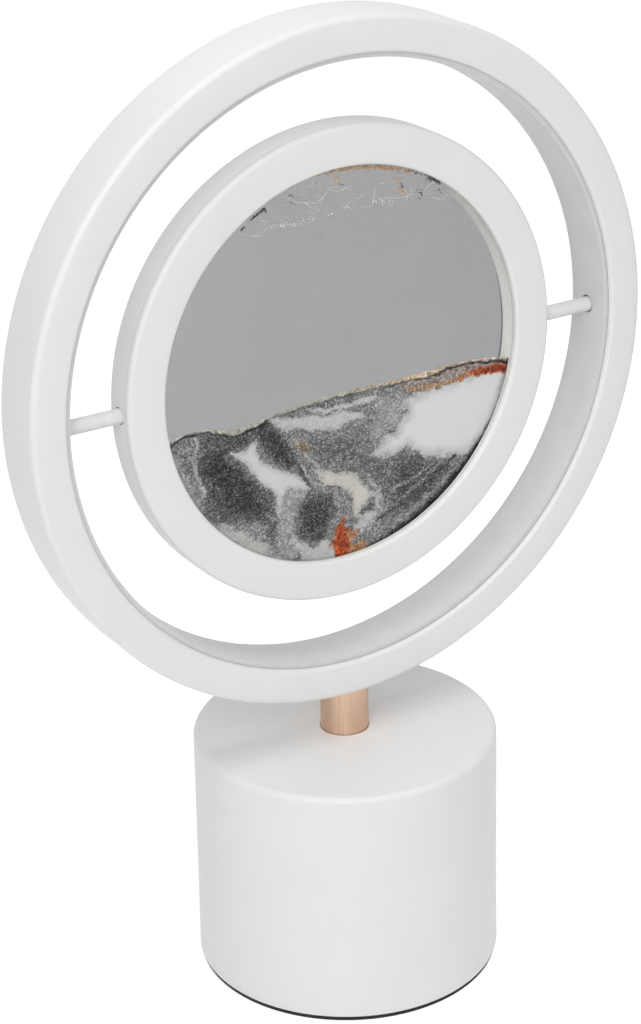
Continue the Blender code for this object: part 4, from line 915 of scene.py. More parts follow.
# Pivot pins
# Two pins turned from white acetal. A flange holds each one inside the housing's wall, and its outer end
# runs in a bush in the ring, so that the frame can be turned over.
PIN_FLANGE_RADIUS = 3.6 * MM
PIN_FLANGE = 1.6 * MM
PIN_END = 0.5 * MM


def white_acetal():
    """Turned acetal: a dense, waxy white. The tool's rings hardly show, though they are drawn coarser
    than real ones."""
    made, tree, place = new_material("white_acetal", Roughness=0.36, IOR=1.48)
    wax = add(tree, "ShaderNodeTexNoise", {"Vector": place, "Scale": 1 / (3 * MM), "Detail": 2.0})
    colour = blend_colours(tree, wax.outputs["Fac"], hex_colour("#dedede"), hex_colour("#e9e9e8"))
    rings = add(tree, "ShaderNodeTexWave", {"Vector": place, "Scale": 1 / (4 * MM)}, bands_direction="X")
    bump = add(tree, "ShaderNodeBump", {"Height": rings.outputs["Fac"], "Distance": 0.005 * MM})
    return driven(made, Base_Color=colour, Normal=bump.outputs["Normal"])


ACETAL = white_acetal()
for name, facing in (("pivot_pin_left", Matrix.Rotation(math.pi, 4, "Y")), ("pivot_pin_right", Matrix())):
    pin = turned(
        name,
        [
            (0, PIN_HIGH.x),
            (PIN_RADIUS, PIN_HIGH.x, PIN_END),
            (PIN_RADIUS, PIN_LOW.x + PIN_FLANGE),
            (PIN_FLANGE_RADIUS, PIN_LOW.x + PIN_FLANGE),
            (PIN_FLANGE_RADIUS, PIN_LOW.x),
            (0, PIN_LOW.x),
        ],
        ACETAL,
        Matrix.Translation(RING_CENTRE) @ facing @ ALONG_X,
        closed=False,
        facets=64,
    )
    place_piece(pin, "sand_frame", "white_pin", name)


# Spacer ring
# A ring of white silicone between the two glass discs. It sets the width of the cell and seals it. Its
# inner wall leans in towards the rear glass, where the silicone was pressed out furthest.
SEAL_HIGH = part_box("spacer_ring")[1]
SEAL_LEAN = 1.8 * MM
CELL_HALF = SEAL_HIGH.y
SEAL_INNER = WINDOW_RADIUS + 0.6 * MM
SEAL_REAR = SEAL_INNER - SEAL_LEAN


def white_silicone():
    """Cured silicone: a soft translucent white, slightly uneven in its haze."""
    made, tree, place = new_material("white_silicone", Roughness=0.45, IOR=1.41)
    haze = add(tree, "ShaderNodeTexNoise", {"Vector": place, "Scale": 1 / (5 * MM), "Detail": 3.0})
    colour = blend_colours(tree, haze.outputs["Fac"], hex_colour("#dededa"), hex_colour("#e8e8e4"))
    return driven(made, Base_Color=colour)


spacer_ring = turned(
    "spacer_ring",
    [
        (SEAL_HIGH.x, CELL_HALF),
        (SEAL_HIGH.x, -CELL_HALF),
        (SEAL_INNER, -CELL_HALF, 0.2 * MM),
        (SEAL_REAR, CELL_HALF, 0.2 * MM),
    ],
    white_silicone(),
    IN_RING,
    facets=480,
)
place_piece(spacer_ring, "sand_frame", "seal", "spacer_ring")


# Front and rear glass
# Two discs of clear float glass with ground edges, glued to the spacer.
GLASS_EDGE = 0.25 * MM


def lets_light_in(tree, tint):
    """Lamps shine straight through the surface, tinted, as they do through flat glass."""
    shader = tree.nodes["Principled BSDF"]
    path = add(tree, "ShaderNodeLightPath")
    clear = add(tree, "ShaderNodeBsdfTransparent", {"Color": tint})
    both = add(
        tree, "ShaderNodeMixShader",
        {0: path.outputs["Is Shadow Ray"], 1: shader.outputs[0], 2: clear.outputs[0]},
    )
    tree.links.new(both.outputs[0], tree.nodes["Material Output"].inputs["Surface"])


def float_glass():
    """Float glass: clear and flat, with hardly any tint, and a faint haze where it was wiped."""
    made, tree, place = new_material(
        "clear_float_glass", Base_Color=hex_colour("#fdfdfd"), Transmission_Weight=1.0, IOR=1.45,
        Specular_Tint=hex_colour("#595959"),
    )
    wiped = add(tree, "ShaderNodeTexNoise", {"Vector": place, "Scale": 1 / (30 * MM), "Detail": 3.0})
    haze = add(tree, "ShaderNodeMapRange", {"Value": wiped.outputs["Fac"], "To Min": 0.0, "To Max": 0.006})
    lets_light_in(tree, hex_colour("#f6f8f8"))
    return driven(made, Roughness=haze.outputs[0])


GLASS = float_glass()
for name in ("front_glass", "rear_glass"):
    low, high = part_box(name)
    disc = turned(
        name,
        [(0, high.y), (high.x, high.y, GLASS_EDGE), (high.x, low.y, GLASS_EDGE), (0, low.y)],
        GLASS,
        IN_RING,
        closed=False,
        facets=240,
    )
    place_piece(disc, "sand_frame", "clear_glass", name)


# Sand bed
# Coloured sands, black, grey, white and rust, that have run down through the liquid and lie in drifts
# between the two glasses. The finest grains settle last and draw a pale line along the ridge.
CELL_RADIUS = 64.0 * MM
CELL_REAR = CELL_RADIUS - SEAL_LEAN
COLUMNS = 290
ROWS = 165
SAND_GAIN = 0.85
# Real grains are about half as wide. These are drawn coarser, so that they show.
GRAIN = 0.42 * MM
RIDGE_FALL = 2.2 * MM
RIDGE = (
    (-61.2, -12.6), (-59, -10.9), (-56, -10.1), (-53, -9.7), (-49, -9.9), (-45, -11.0), (-42, -11.9),
    (-38, -12.4), (-34, -12.0), (-31, -11.5), (-28, -11.0), (-24, -10.4), (-20, -9.8), (-15, -9.3),
    (-10, -9.0), (-5, -8.7), (0, -8.6), (5, -8.6), (10, -8.7), (15, -8.9), (20, -8.9), (25, -8.8),
    (30, -8.7), (35, -8.5), (39, -8.3), (44, -8.3), (49, -8.6), (54, -9.1), (59, -9.8), (63.3, -10.9),
)


def drift(places, size, seed):
    """Smooth noise from -1 to 1 over places in the sand's plane, with features of a size."""
    table = np.random.default_rng(seed).random((97, 97)) * 2 - 1
    spot = places / size + 1000.0
    cell = np.floor(spot).astype(int)
    share = spot - cell
    share = share * share * (3 - 2 * share)
    x0, z0 = cell[..., 0] % 97, cell[..., 1] % 97
    x1, z1 = (x0 + 1) % 97, (z0 + 1) % 97
    low = table[x0, z0] * (1 - share[..., 0]) + table[x1, z0] * share[..., 0]
    high = table[x0, z1] * (1 - share[..., 0]) + table[x1, z1] * share[..., 0]
    return low * (1 - share[..., 1]) + high * share[..., 1]


def stirred(places, reach, size, seed, loose=1.0):
    """The places, each moved a little, so that the edges of a drift wander, fray and break into grains."""
    moved = np.stack([drift(places, size, seed), drift(places, size, seed + 1)], -1)
    fine = np.stack([drift(places, size / 4, seed + 2), drift(places, size / 4, seed + 3)], -1)
    grains = np.stack([drift(places, GRAIN, seed + 4), drift(places, GRAIN, seed + 5)], -1)
    return places + reach * (moved + 0.5 * fine) + loose * GRAIN * grains


def curved(points, closed, steps=6):
    """A smooth line through given points (a Catmull-Rom curve)."""
    points = np.array(points, float) * MM
    if closed:
        before, after, last = np.roll(points, 1, 0), np.roll(points, -1, 0), np.roll(points, -2, 0)
    else:
        ends = np.concatenate([points[:1], points, points[-1:]])
        before, points, after, last = ends[:-3], ends[1:-2], ends[2:-1], ends[3:]
    share = np.arange(steps)[None, :, None] / steps
    a, b, c, d = (item[:, None, :] for item in (before, points, after, last))
    line = 0.5 * (
        2 * b + (c - a) * share
        + (2 * a - 5 * b + 4 * c - d) * share ** 2
        + (3 * b - a - 3 * c + d) * share ** 3
    )
    line = line.reshape(-1, 2)
    return line if closed else np.concatenate([line, after[-1:]])


def distance(places, line, closed):
    """The distance of places from a line, below zero inside it where it is closed."""
    near = np.all((places > line.min(0) - NEAR) & (places < line.max(0) + NEAR), -1)
    far = np.full(len(places), 1.0)
    places = places[near]
    nearest = np.full(len(places), 1.0)
    inside = np.zeros(len(places), bool)
    ends = np.roll(line, -1, 0) if closed else line[1:]
    for start, end in zip(line, ends):
        along = end - start
        offset = places - start
        share = np.clip((offset @ along) / max(along @ along, 1e-12), 0, 1)
        nearest = np.minimum(nearest, np.hypot(*np.moveaxis(offset - share[..., None] * along, -1, 0)))
        if closed and start[1] != end[1]:
            level = (start[1] > places[..., 1]) != (end[1] > places[..., 1])
            cross = start[0] + (places[..., 1] - start[1]) * along[0] / along[1]
            inside ^= level & (places[..., 0] < cross)
    far[near] = np.where(inside, -nearest, nearest)
    return far


def ridge_height(across):
    """The height of the ridge on the front glass, at places across the cell."""
    table = np.array(RIDGE) * MM
    return np.interp(across, table[:, 0], table[:, 1])


def ridge_line(side, radius, steps):
    """The ridge on one glass, from rim to rim. It lies lower on the rear glass than on the front one."""
    fall = RIDGE_FALL * (side + 1) / 2
    ends = [math.sqrt(radius ** 2 - (height * MM - fall) ** 2) for height in (RIDGE[0][1], RIDGE[-1][1])]
    across = np.linspace(-ends[0], ends[1], steps)
    return np.column_stack([across, ridge_height(across) - fall])


def tone(code):
    """The colour of a drift as three linear values."""
    return np.array(hex_colour(code)[:3])


# Each drift: the tone at its edge and in its core, how deep the core lies, the softness and the fraying of
# its edge, and its outline, in millimetres from the middle of the window.
DRIFTS = (
    ("#8c8c8c", "#a6a6a5", 4, 3.0, 1.2, (
        (-62, -14), (-58, -17), (-55, -24), (-52, -31), (-50, -38), (-46, -43), (-50, -46), (-60, -32),
        (-64, -20))),
    ("#5e5e5e", "#525252", 2, 0.7, 0.6, (
        (-51.5, -12.2), (-47, -11), (-42, -12.6), (-37, -13.3), (-31, -12.6), (-29.5, -15), (-31.5, -17.4),
        (-35, -19), (-39, -19.4), (-43, -17.8), (-47, -17), (-51.5, -15.8))),
    ("#686868", "#545454", 4, 1.6, 1.1, (
        (-52.5, -19.5), (-49.5, -17), (-44.5, -16.3), (-41.8, -18), (-40, -21), (-36.5, -25.5),
        (-33, -29.7), (-28.5, -33.8), (-25.8, -37.2), (-25, -42), (-25, -50), (-24.5, -55), (-28, -52),
        (-30.5, -47.5), (-35, -45.5), (-40, -43.5), (-46, -41.5), (-50.3, -38), (-50.8, -30),
        (-52.3, -25))),
    ("#444444", "#3a3a3a", 2.5, 4.4, 1.4, (
        (-50.5, -20), (-46.5, -17.2), (-42.5, -18), (-39.6, -23), (-36.2, -28), (-32.6, -33), (-30.2, -38),
        (-30.6, -43.5), (-35, -43.4), (-40.5, -39.5), (-45.5, -32), (-49.6, -25))),
    ("#9a9a9a", "#b4b2b0", 2.6, 1.6, 1.3, (
        (-48, -43), (-43, -42.2), (-38, -44.8), (-35, -47.5), (-32.5, -50.2), (-28.5, -53.6), (-25, -57.4),
        (-20, -59.6), (-22, -63), (-34, -57), (-44, -50))),
    ("#8a8a8a", "#7b7b7b", 1, 0.8, 0.8, (
        (-35, -46.2), (-31, -45.5), (-28, -47), (-29.5, -49), (-33.5, -48.4))),
    ("#8f8f8f", "#939393", 2, 1.2, 1.0, (
        (-25, -39), (-22, -37), (-17, -37.5), (-14, -39), (-18, -44), (-19.5, -50), (-17.5, -55.5),
        (-18, -60), (-22.5, -60), (-25.5, -55), (-24.6, -47))),
    ("#a8a8a8", "#c5c5c5", 1.8, 0.8, 0.45, (
        (-40.8, -19.6), (-36, -19.8), (-32.6, -18.1), (-31, -18.4), (-31.4, -20.8), (-29.5, -24.6),
        (-26, -27.5), (-22.5, -29.6), (-18.5, -31.6), (-15.6, -33.6), (-13, -37), (-12, -38.8),
        (-15.5, -37.6), (-20, -36.6), (-22.4, -39), (-23.8, -44), (-23.2, -50), (-24.6, -45), (-25, -40),
        (-25.6, -37), (-28.8, -33.6), (-32.6, -29), (-36, -24.2), (-39, -21.4))),
    ("#5c5c5c", "#3e3e3e", 2.2, 1.0, 0.6, (
        (-30.8, -11.6), (-28.2, -11.2), (-26, -13), (-24.2, -15.6), (-22, -18.6), (-20, -22), (-17.6, -26),
        (-15.4, -29.4), (-14.2, -32), (-12.4, -35.6), (-10.6, -38), (-13.6, -36.8), (-15.2, -33.6),
        (-17.2, -30.9), (-21, -29), (-25.4, -26.2), (-28.6, -22), (-30.8, -18), (-31, -15))),
    ("#9b9b9b", "#b4b4b3", 1.2, 0.9, 0.7, (
        (-27, -11.4), (-20, -12.6), (-14, -13.2), (-8, -14.6), (-2, -14.6), (4, -16.2), (9, -18.8),
        (3, -19.6), (-2, -20), (-8, -19.8), (-13, -18.4), (-17, -16.8), (-20.5, -17), (-24.4, -14.6))),
    ("#a6a6a4", "#b7b6b3", 1.0, 0.6, 0.8, (
        (-14, -10.6), (-6, -12.6), (2, -12.4), (10, -12.2), (13, -13.8), (4, -14), (-4, -14.4),
        (-10, -13))),
    ("#868686", "#929292", 3, 2.2, 1.3, (
        (12, -13.6), (24, -14.6), (24, -20), (20, -23.6), (15, -27.4), (10.6, -30.6), (9, -26),
        (11.6, -20))),
    ("#737373", "#666666", 3, 3.0, 1.3, (
        (-12, -21.5), (-4, -22.5), (4, -24), (9, -26), (6, -30), (2, -33.5), (-4, -31.5), (-9, -28.5))),
    ("#8c8983", "#7c6a58", 1.6, 1.2, 1.0, (
        (-18.5, -21.5), (-15.5, -20.8), (-12.8, -23.2), (-12.4, -26.2), (-15, -26.4), (-18, -24))),
    ("#717171", "#656565", 3, 1.4, 1.1, (
        (5, -30.5), (10, -32.8), (17, -34), (24, -33), (30, -37.5), (38, -39.6), (47, -40.6), (52, -37.4),
        (60, -26), (66, -26), (56, -44), (34, -62), (10, -66), (14, -55), (13.6, -50), (11.4, -44),
        (9, -40))),
    ("#5f5f5f", "#4f4f4f", 4, 3.4, 1.3, (
        (19, -38.5), (25, -36.5), (32, -39.5), (40, -41.5), (38, -46), (32, -50.5), (26, -54.5), (19, -53),
        (18, -46))),
    ("#7d7d7d", "#808080", 1.5, 1.0, 0.8, (
        (46, -41.5), (41, -44.2), (36, -48.2), (30, -51.6), (24, -54.4), (16, -57), (8, -58.4), (9, -60.8),
        (17, -59.6), (25, -56.8), (32, -53.4), (38, -49.4), (43, -45.6), (48, -42.4))),
    ("#989898", "#aeaeae", 2, 1.0, 0.8, (
        (5, -44), (8, -42.8), (11.5, -45), (13.8, -49), (12.6, -53), (9, -56), (5, -58.6), (3, -56),
        (4.6, -53), (4, -48))),
    ("#a5a39e", "#bebab1", 1.6, 0.9, 0.7, (
        (-11, -31.6), (-8.6, -33), (-4, -34.8), (1, -36), (5.2, -37.8), (6.6, -40.4), (8.6, -43),
        (9.6, -45.6), (6.6, -48.6), (5.6, -52.4), (3, -52), (2.6, -47), (1.6, -43.4), (-2, -41),
        (-6.5, -38.8), (-9.4, -36))),
    ("#7f7f7f", "#6a6a6a", 1.2, 0.7, 0.6, (
        (5.2, -51.6), (7.6, -48.6), (10.2, -46.2), (11.6, -48.4), (11.6, -50.6), (9, -51.6))),
    ("#8e8d8c", "#828180", 1.4, 0.8, 0.8, (
        (-4, -41.6), (0, -43.4), (2, -47), (2.6, -52), (-1, -51), (-3.4, -47))),
    ("#666666", "#454545", 3.0, 1.6, 0.9, (
        (-13.6, -39.4), (-9.6, -39.6), (-6, -41.3), (-3.8, -44), (-3.4, -47.6), (-4.8, -51.4), (-6.6, -55),
        (-9, -57.6), (-12.6, -56.4), (-16.6, -53), (-18.2, -48.4), (-17, -43.2))),
    ("#a6a6a6", "#b5b5b4", 1.2, 0.9, 0.8, (
        (-20.4, -49.6), (-18.6, -52.4), (-15.6, -56.6), (-11, -58.4), (-7.6, -57.6), (-5.4, -59),
        (-4, -65), (-20, -65), (-16, -60.4), (-18.6, -56.4))),
    ("#a5a5a5", "#cfcfcf", 4.0, 1.3, 0.9, (
        (25, -15.4), (22.4, -18.2), (24, -21), (20.6, -23), (19.6, -25.4), (15.6, -26.6), (14, -29),
        (10.6, -32), (13.6, -33.8), (19, -34.2), (24, -33), (29, -36.4), (34, -38.4), (40, -40),
        (47, -40.4), (52, -37), (56, -32), (59.4, -26), (62, -19), (66, -13), (50, -12.6), (36, -14.4))),
    ("#ac6a42", "#983a12", 1.2, 0.7, 1.1, (
        (-0.9, -50.8), (-2.6, -53.4), (-4.7, -56), (-5.4, -58.6), (-3.8, -60.6), (-2.6, -66), (5, -66),
        (4.6, -61.6), (2.4, -59.8), (3.2, -58.4), (5.8, -57), (3.4, -55.6), (1, -54.6), (0.4, -52.6))),
    ("#a57a58", "#a0704a", 1.5, 1.4, 1.0, (
        (0.6, -56.2), (4.4, -57.4), (2.6, -59), (3.2, -61), (8, -62), (6, -66), (0, -66), (1.6, -61))),
)

# Each stroke: its colour, its width, its fraying, and the points that it runs through.
STROKES = (
    ("#989898", 1.2, 0.9, ((-13.6, -26.6), (-11.6, -29.2), (-9, -32))),
    ("#a6a6a6", 0.75, 0.5, (
        (-52.4, -12), (-52, -15.4), (-53.4, -18.6), (-53.2, -22), (-52, -26), (-50, -31))),
    ("#8a8a8a", 0.8, 0.6, ((-52.4, -26), (-50.8, -31), (-50.4, -36))),
    ("#6e6e6e", 0.7, 0.5, ((-14.2, -33), (-12.4, -36.6), (-9.4, -38.2), (-5, -39.6), (-1, -41))),
    ("#a3a3a2", 0.45, 0.4, ((-15.6, -29.6), (-13.8, -33), (-11.6, -36.4), (-7.6, -38.6))),
    ("#9c9c9c", 0.8, 0.6, ((9.4, -40.6), (12.4, -45), (13.8, -49.6), (12, -54), (8, -57.6))),
    ("#868686", 0.5, 0.4, ((12, -52.6), (20, -50), (30, -45), (40, -38.6))),
    ("#454545", 0.8, 0.5, ((12, -54.4), (22, -51.6), (32, -46.2), (42, -39.8))),
    ("#8c8c8c", 0.4, 0.4, ((18, -46), (26, -43.6), (34, -40.4))),
    ("#858585", 0.6, 0.5, ((-34, -50.6), (-31.4, -49.6), (-28.6, -50.6), (-26.4, -53.6))),
)
# How far the colours at the ridge fray, and how near a line a place lies where its distance counts.
FRAY = 0.35 * MM
NEAR = 6 * MM


def band(across, values):
    """A value along the ridge, between given places, in millimetres."""
    table = np.array(values) * MM
    return np.interp(across, table[:, 0], table[:, 1])


def sand_colours(places, seed):
    """Linear colour at places in the sand's plane, and how coarsely mixed the grains are there."""
    across, height = places[..., 0], places[..., 1]
    colour = np.tile(tone("#777777"), (len(places), 1))

    def lay(share, code):
        share = np.clip(share, 0, 1)[..., None]
        colour[:] = colour + (tone(code) - colour) * share

    for index, (edge, core, depth, softness, fraying, outline) in enumerate(DRIFTS):
        moved = stirred(places, fraying * MM, 3 * MM, seed + 10 * index)
        deep = -distance(moved, curved(outline, True), True)
        cover = np.clip(deep / (softness * MM) + 0.5, 0, 1)[..., None]
        share = np.clip(deep / (depth * MM), 0, 1)[..., None]
        paint = tone(edge) * (1 - share) + tone(core) * share
        colour[:] = colour + (paint - colour) * cover * cover * (3 - 2 * cover)
    for index, (code, width, fraying, points) in enumerate(STROKES):
        moved = stirred(places, fraying * MM, 2 * MM, seed + 400 + 10 * index)
        lay(1.4 - distance(moved, curved(points, False), False) / (width * MM) * 1.4, code)

    # mottle
    swirl = stirred(places * (1.0, 1.35), 2.2 * MM, 6 * MM, seed + 500)
    mottle = 0.6 * drift(swirl, 2.6 * MM, seed + 510) + 0.5 * drift(swirl, 1.1 * MM, seed + 520)
    calm = np.clip((0.62 - colour.mean(-1)) / 0.3, 0.04, 1)
    colour *= (1 + 0.24 * mottle * calm)[..., None]

    # rim: painted shadow, a dark band along the lower right edge where the rim wall shades the sand, then a
    # narrow grey-brown band at the edge on the right, near the ridge
    rim = stirred(places, 0.5 * MM, 4 * MM, seed + 600)
    rim_radius = np.hypot(rim[..., 0], rim[..., 1])
    angle = np.degrees(np.arctan2(height, across))
    painted_shadow_width = MM * np.interp(
        angle, [-88, -80, -60, -45, -32, -24, -18], [0, 1.6, 3.4, 3.4, 1.8, 0.8, 0.0]
    )
    # painted shadow: the sand is drawn dark along the lower right rim, standing in for the rim's shade
    lay((rim_radius - (CELL_RADIUS + 0.4 * MM - painted_shadow_width)) / (1.6 * MM) * (painted_shadow_width > 0), "#262626")
    lay((rim_radius - (CELL_RADIUS - 0.3 * MM)) / (0.5 * MM) * (angle > -30), "#6b6660")

    # ridge
    frayed = stirred(places, FRAY, 1.4 * MM, seed + 700, 0.3)
    below = ridge_height(frayed[..., 0]) - frayed[..., 1]
    wander = (0.3 * drift(places, 2.2 * MM, seed + 720) + 0.15 * drift(places, 0.9 * MM, seed + 721)) * MM
    under = np.clip((across - 20 * MM) / (4 * MM), 0, 1)
    # mauve and orange beneath the right ridge
    mauve = band(across, ((14, 0), (26, 4.6), (36, 5.6), (44, 5.0), (50, 3.6), (58, 2.6), (64, 2.6)))
    lay((mauve - below) / (0.6 * MM), "#8c827c")
    fleck = 0.4 * drift(places, 1.4 * MM, seed + 730) + 0.6 * drift(places, 0.5 * MM, seed + 731)
    lay(np.clip((mauve - below) / (0.6 * MM), 0, 1) * (fleck - 0.1) * 1.6, "#aba199")
    lay(np.clip((mauve - below) / (0.6 * MM), 0, 1) * (-0.15 - fleck) * 1.6, "#5d5453")
    top = band(across, ((22, 3.4), (34, 4.8), (42, 5.2), (46, 3.9), (52, 2.9), (58, 2.2), (64, 1.8)))
    foot = band(
        across, ((22, 3.4), (27, 6.0), (36, 6.9), (42, 6.6), (47, 5.6), (54, 5.2), (60, 4.8), (64, 6.6))
    )
    foot = foot + 0.7 * MM * drift(places * (1, 0.2), 1.0 * MM, seed + 735)
    lively = np.clip((np.maximum(mauve, foot * (under > 0)) - below) / MM, 0, 1)
    orange = np.minimum(below + wander - top, foot - below - wander) / (0.5 * MM)
    core = np.clip(orange - 0.6, 0, 1) * under
    orange = np.clip(orange + 0.5, 0, 1) * under
    lay(orange, "#8f7863")
    lay(orange * (fleck - 0.1) * 2, "#b98a58")
    lay(orange * np.clip((across - 42 * MM + 4 * MM * fleck) / (8 * MM), 0, 1), "#a9552a")
    lay(core * np.clip((across - 48 * MM + 3 * MM * fleck) / (5 * MM), 0, 1), "#802c12")
    # dark line
    line_middle = band(across, (
        (-61, 0.6), (-52, 1.0), (-46, 1.3), (-40, 1.9), (-34, 2.1), (-30, 1.7), (-26, 0.9), (-12, 1.9),
        (0, 1.5), (14, 1.5), (20, 1.8), (26, 1.5), (32, 2.6), (36, 2.0), (40, 1.3), (46, 1.1), (52, 1.4),
        (58, 1.5), (64, 1.6)))
    line_half = band(across, (
        (-61, 0.4), (-54, 0.35), (-50, 0.25), (-46, 0.25), (-34, 0.35), (-29, 0.4), (-26, 0.12),
        (-10, 0.15), (12, 0.12), (18, 0.2), (36, 0.26), (39, 0.34), (50, 0.38), (56, 0.4), (64, 0.5)))
    near_line = (line_half - np.abs(below + wander - line_middle)) / (0.3 * MM) + 0.5
    lay(np.clip(near_line, 0, 1) * (0.95 + 0.3 * fleck), "#1c1a19")
    # cream line
    cream = band(across, (
        (-61, 0.0), (-52, 0.6), (-46, 0.9), (-40, 1.5), (-32, 1.5), (-29, 0.7), (-24, 0.6), (-14, 1.2),
        (0, 1.3), (16, 1.3), (26, 1.3), (32, 1.9), (36, 1.4), (40, 0.6), (50, 0.5), (58, 0.7), (64, 0.7)))
    warm = np.clip(across / (30 * MM), 0, 1)[..., None]
    paint = tone("#aaa69d") * (1 - warm) + tone("#d2c1a6") * warm
    paint = paint * (1 + 0.25 * drift(places, 0.7 * MM, seed + 740)[..., None])
    share = np.clip((cream - below - wander) / (0.35 * MM), 0, 1)[..., None]
    colour[:] = colour + (paint - colour) * share
    lay(np.clip((cream - below) / (0.3 * MM), 0, 1) * (fleck - 0.1) * 2.2 * (across > 4 * MM), "#ab7f58")
    lay(np.clip((cream - below) / (0.3 * MM), 0, 1) * (-0.1 - fleck) * 1.6, "#86796c")
    return np.column_stack([colour, lively])


def plain_sand():
    """Dry silica sand against glass: matt, speckled grain by grain, and smoother where it is white."""
    made, tree, place = new_material("coloured_sands", Roughness=0.95, Specular_IOR_Level=0.1)
    laid = add(tree, "ShaderNodeAttribute", attribute_name="sand_colour", attribute_type="GEOMETRY")
    cells = add(tree, "ShaderNodeTexVoronoi", {"Vector": place, "Scale": 1 / GRAIN})
    grains = add(tree, "ShaderNodeSeparateColor", {"Color": cells.outputs["Color"]})
    few_bright = add(tree, "ShaderNodeMath", {0: grains.outputs[0], 1: 3.0}, operation="POWER")
    luminance = add(tree, "ShaderNodeRGBToBW", {"Color": laid.outputs["Color"]})
    bright = add(tree, "ShaderNodeMath", {0: luminance.outputs[0], 1: 0.5}, operation="POWER")
    reach = add(
        tree, "ShaderNodeMapRange",
        {"Value": bright.outputs[0], "From Min": 0.2, "From Max": 0.66, "To Min": 3.0, "To Max": 0.05},
    )
    coarse = add(tree, "ShaderNodeMath", {0: laid.outputs["Alpha"], 1: 1.1}, operation="MULTIPLY")
    reach = add(tree, "ShaderNodeMath", {0: reach.outputs[0], 1: coarse.outputs[0]}, operation="MAXIMUM")
    off_middle = add(tree, "ShaderNodeMath", {0: few_bright.outputs[0], 1: 0.25}, operation="SUBTRACT")
    share = add(
        tree, "ShaderNodeMath", {0: off_middle.outputs[0], 1: reach.outputs[0], 2: 1.0},
        operation="MULTIPLY_ADD",
    )
    speckled = add(
        tree, "ShaderNodeVectorMath", {0: laid.outputs["Color"], 1: share.outputs[0]}, operation="MULTIPLY"
    )
    bump = add(tree, "ShaderNodeBump", {"Height": cells.outputs["Distance"], "Distance": 0.05 * MM})
    return driven(made, Base_Color=speckled.outputs[0], Normal=bump.outputs["Normal"])


def sand_grid(side):
    """Places over the sand's outline, column by column from the ridge down, closer together at the top."""
    radius = CELL_RADIUS if side < 0 else CELL_REAR
    across, top = ridge_line(side, radius, COLUMNS).T
    foot = np.minimum(-np.sqrt(np.maximum(radius ** 2 - across ** 2, 0)), top - 0.05 * MM)
    down = np.linspace(0, 1, ROWS)
    down = 0.5 * down + 0.5 * down ** 2
    heights = top[:, None] + (foot - top)[:, None] * down[None, :]
    return np.stack([np.repeat(across[:, None], ROWS, 1), heights], -1)


flats = {side: sand_grid(side).reshape(-1, 2) for side in (-1, 1)}
corners = np.concatenate([
    np.column_stack([flat[:, 0], np.full(len(flat), side * CELL_HALF), flat[:, 1] + RING_CENTRE.z])
    for side, flat in flats.items()
])
faces = []
rear = COLUMNS * ROWS
for column in range(COLUMNS - 1):
    for row in range(ROWS - 1):
        a = column * ROWS + row
        faces.append((a, a + 1, a + ROWS + 1, a + ROWS))
        faces.append((rear + a, rear + a + ROWS, rear + a + ROWS + 1, rear + a + 1))
rim = [column * ROWS for column in range(COLUMNS)]
rim += [(COLUMNS - 1) * ROWS + row for row in range(1, ROWS)]
rim += [column * ROWS + ROWS - 1 for column in reversed(range(COLUMNS - 1))]
rim += [row for row in reversed(range(1, ROWS - 1))]
for here, there in zip(rim, rim[1:] + rim[:1]):
    faces.append((here, there, rear + there, rear + here))
mesh = bpy.data.meshes.new("sand_bed")
mesh.from_pydata(corners.tolist(), [], faces)
mesh.materials.append(plain_sand())
painted = np.concatenate([sand_colours(flats[-1], 3), sand_colours(flats[1] + (0, RIDGE_FALL), 41)])
painted[:, :3] = np.clip(painted[:, :3] * SAND_GAIN, 0.002, 0.9)
mesh.attributes.new("sand_colour", "FLOAT_COLOR", "POINT").data.foreach_set("color", painted.ravel())
sand_bed = bpy.data.objects.new("sand_bed", mesh)
scene.collection.objects.link(sand_bed)
smooth(sand_bed)
place_piece(sand_bed, "sand_frame", "sand", "sand_bed")


# Liquid
# Tinted water that fills the rest of the cell. It turns what shows through it to a neutral grey.
LIQUID_OVERLAP = 0.1 * MM
LIQUID_GAP = 0.15 * MM


def tinted_water():
    """Water with grey dye: clear, and dark enough to turn a white wall behind it to mid grey. All of
    the dye acts at its rear face, so that the seal and the front glass stay white in front of it. It
    wets the glass, so its own surface hardly bends or mirrors the light. Its grey is clouded at
    random and drawn darker towards the right, a painted shade."""
    made, tree, place = new_material(
        "grey_tinted_water", Roughness=0.0, Transmission_Weight=1.0, IOR=1.01
    )
    cloud = add(tree, "ShaderNodeTexNoise", {"Vector": place, "Scale": 1 / (45 * MM), "Detail": 1.0})
    axes = add(tree, "ShaderNodeSeparateXYZ", {"Vector": place}).outputs
    # painted shade: the dye is drawn darker towards the right across the cell, over a random cloud
    share = add(
        tree, "ShaderNodeMapRange",
        {"Value": axes["X"], "From Min": -CELL_RADIUS, "From Max": CELL_RADIUS,
         "To Min": -0.2, "To Max": 0.6},
    )
    uneven = add(tree, "ShaderNodeMath", {0: share.outputs[0], 1: cloud.outputs["Fac"]}, operation="ADD")
    dye = blend_colours(tree, uneven.outputs[0], hex_colour("#636465"), hex_colour("#58595b"))
    at_rear = add(tree, "ShaderNodeMath", {0: axes["Y"], 1: 0.0}, operation="GREATER_THAN")
    colour = blend_colours(tree, at_rear.outputs[0], hex_colour("#fbfbfb"), dye)
    lets_light_in(tree, hex_colour("#e8e8e8"))
    return driven(made, Base_Color=colour)


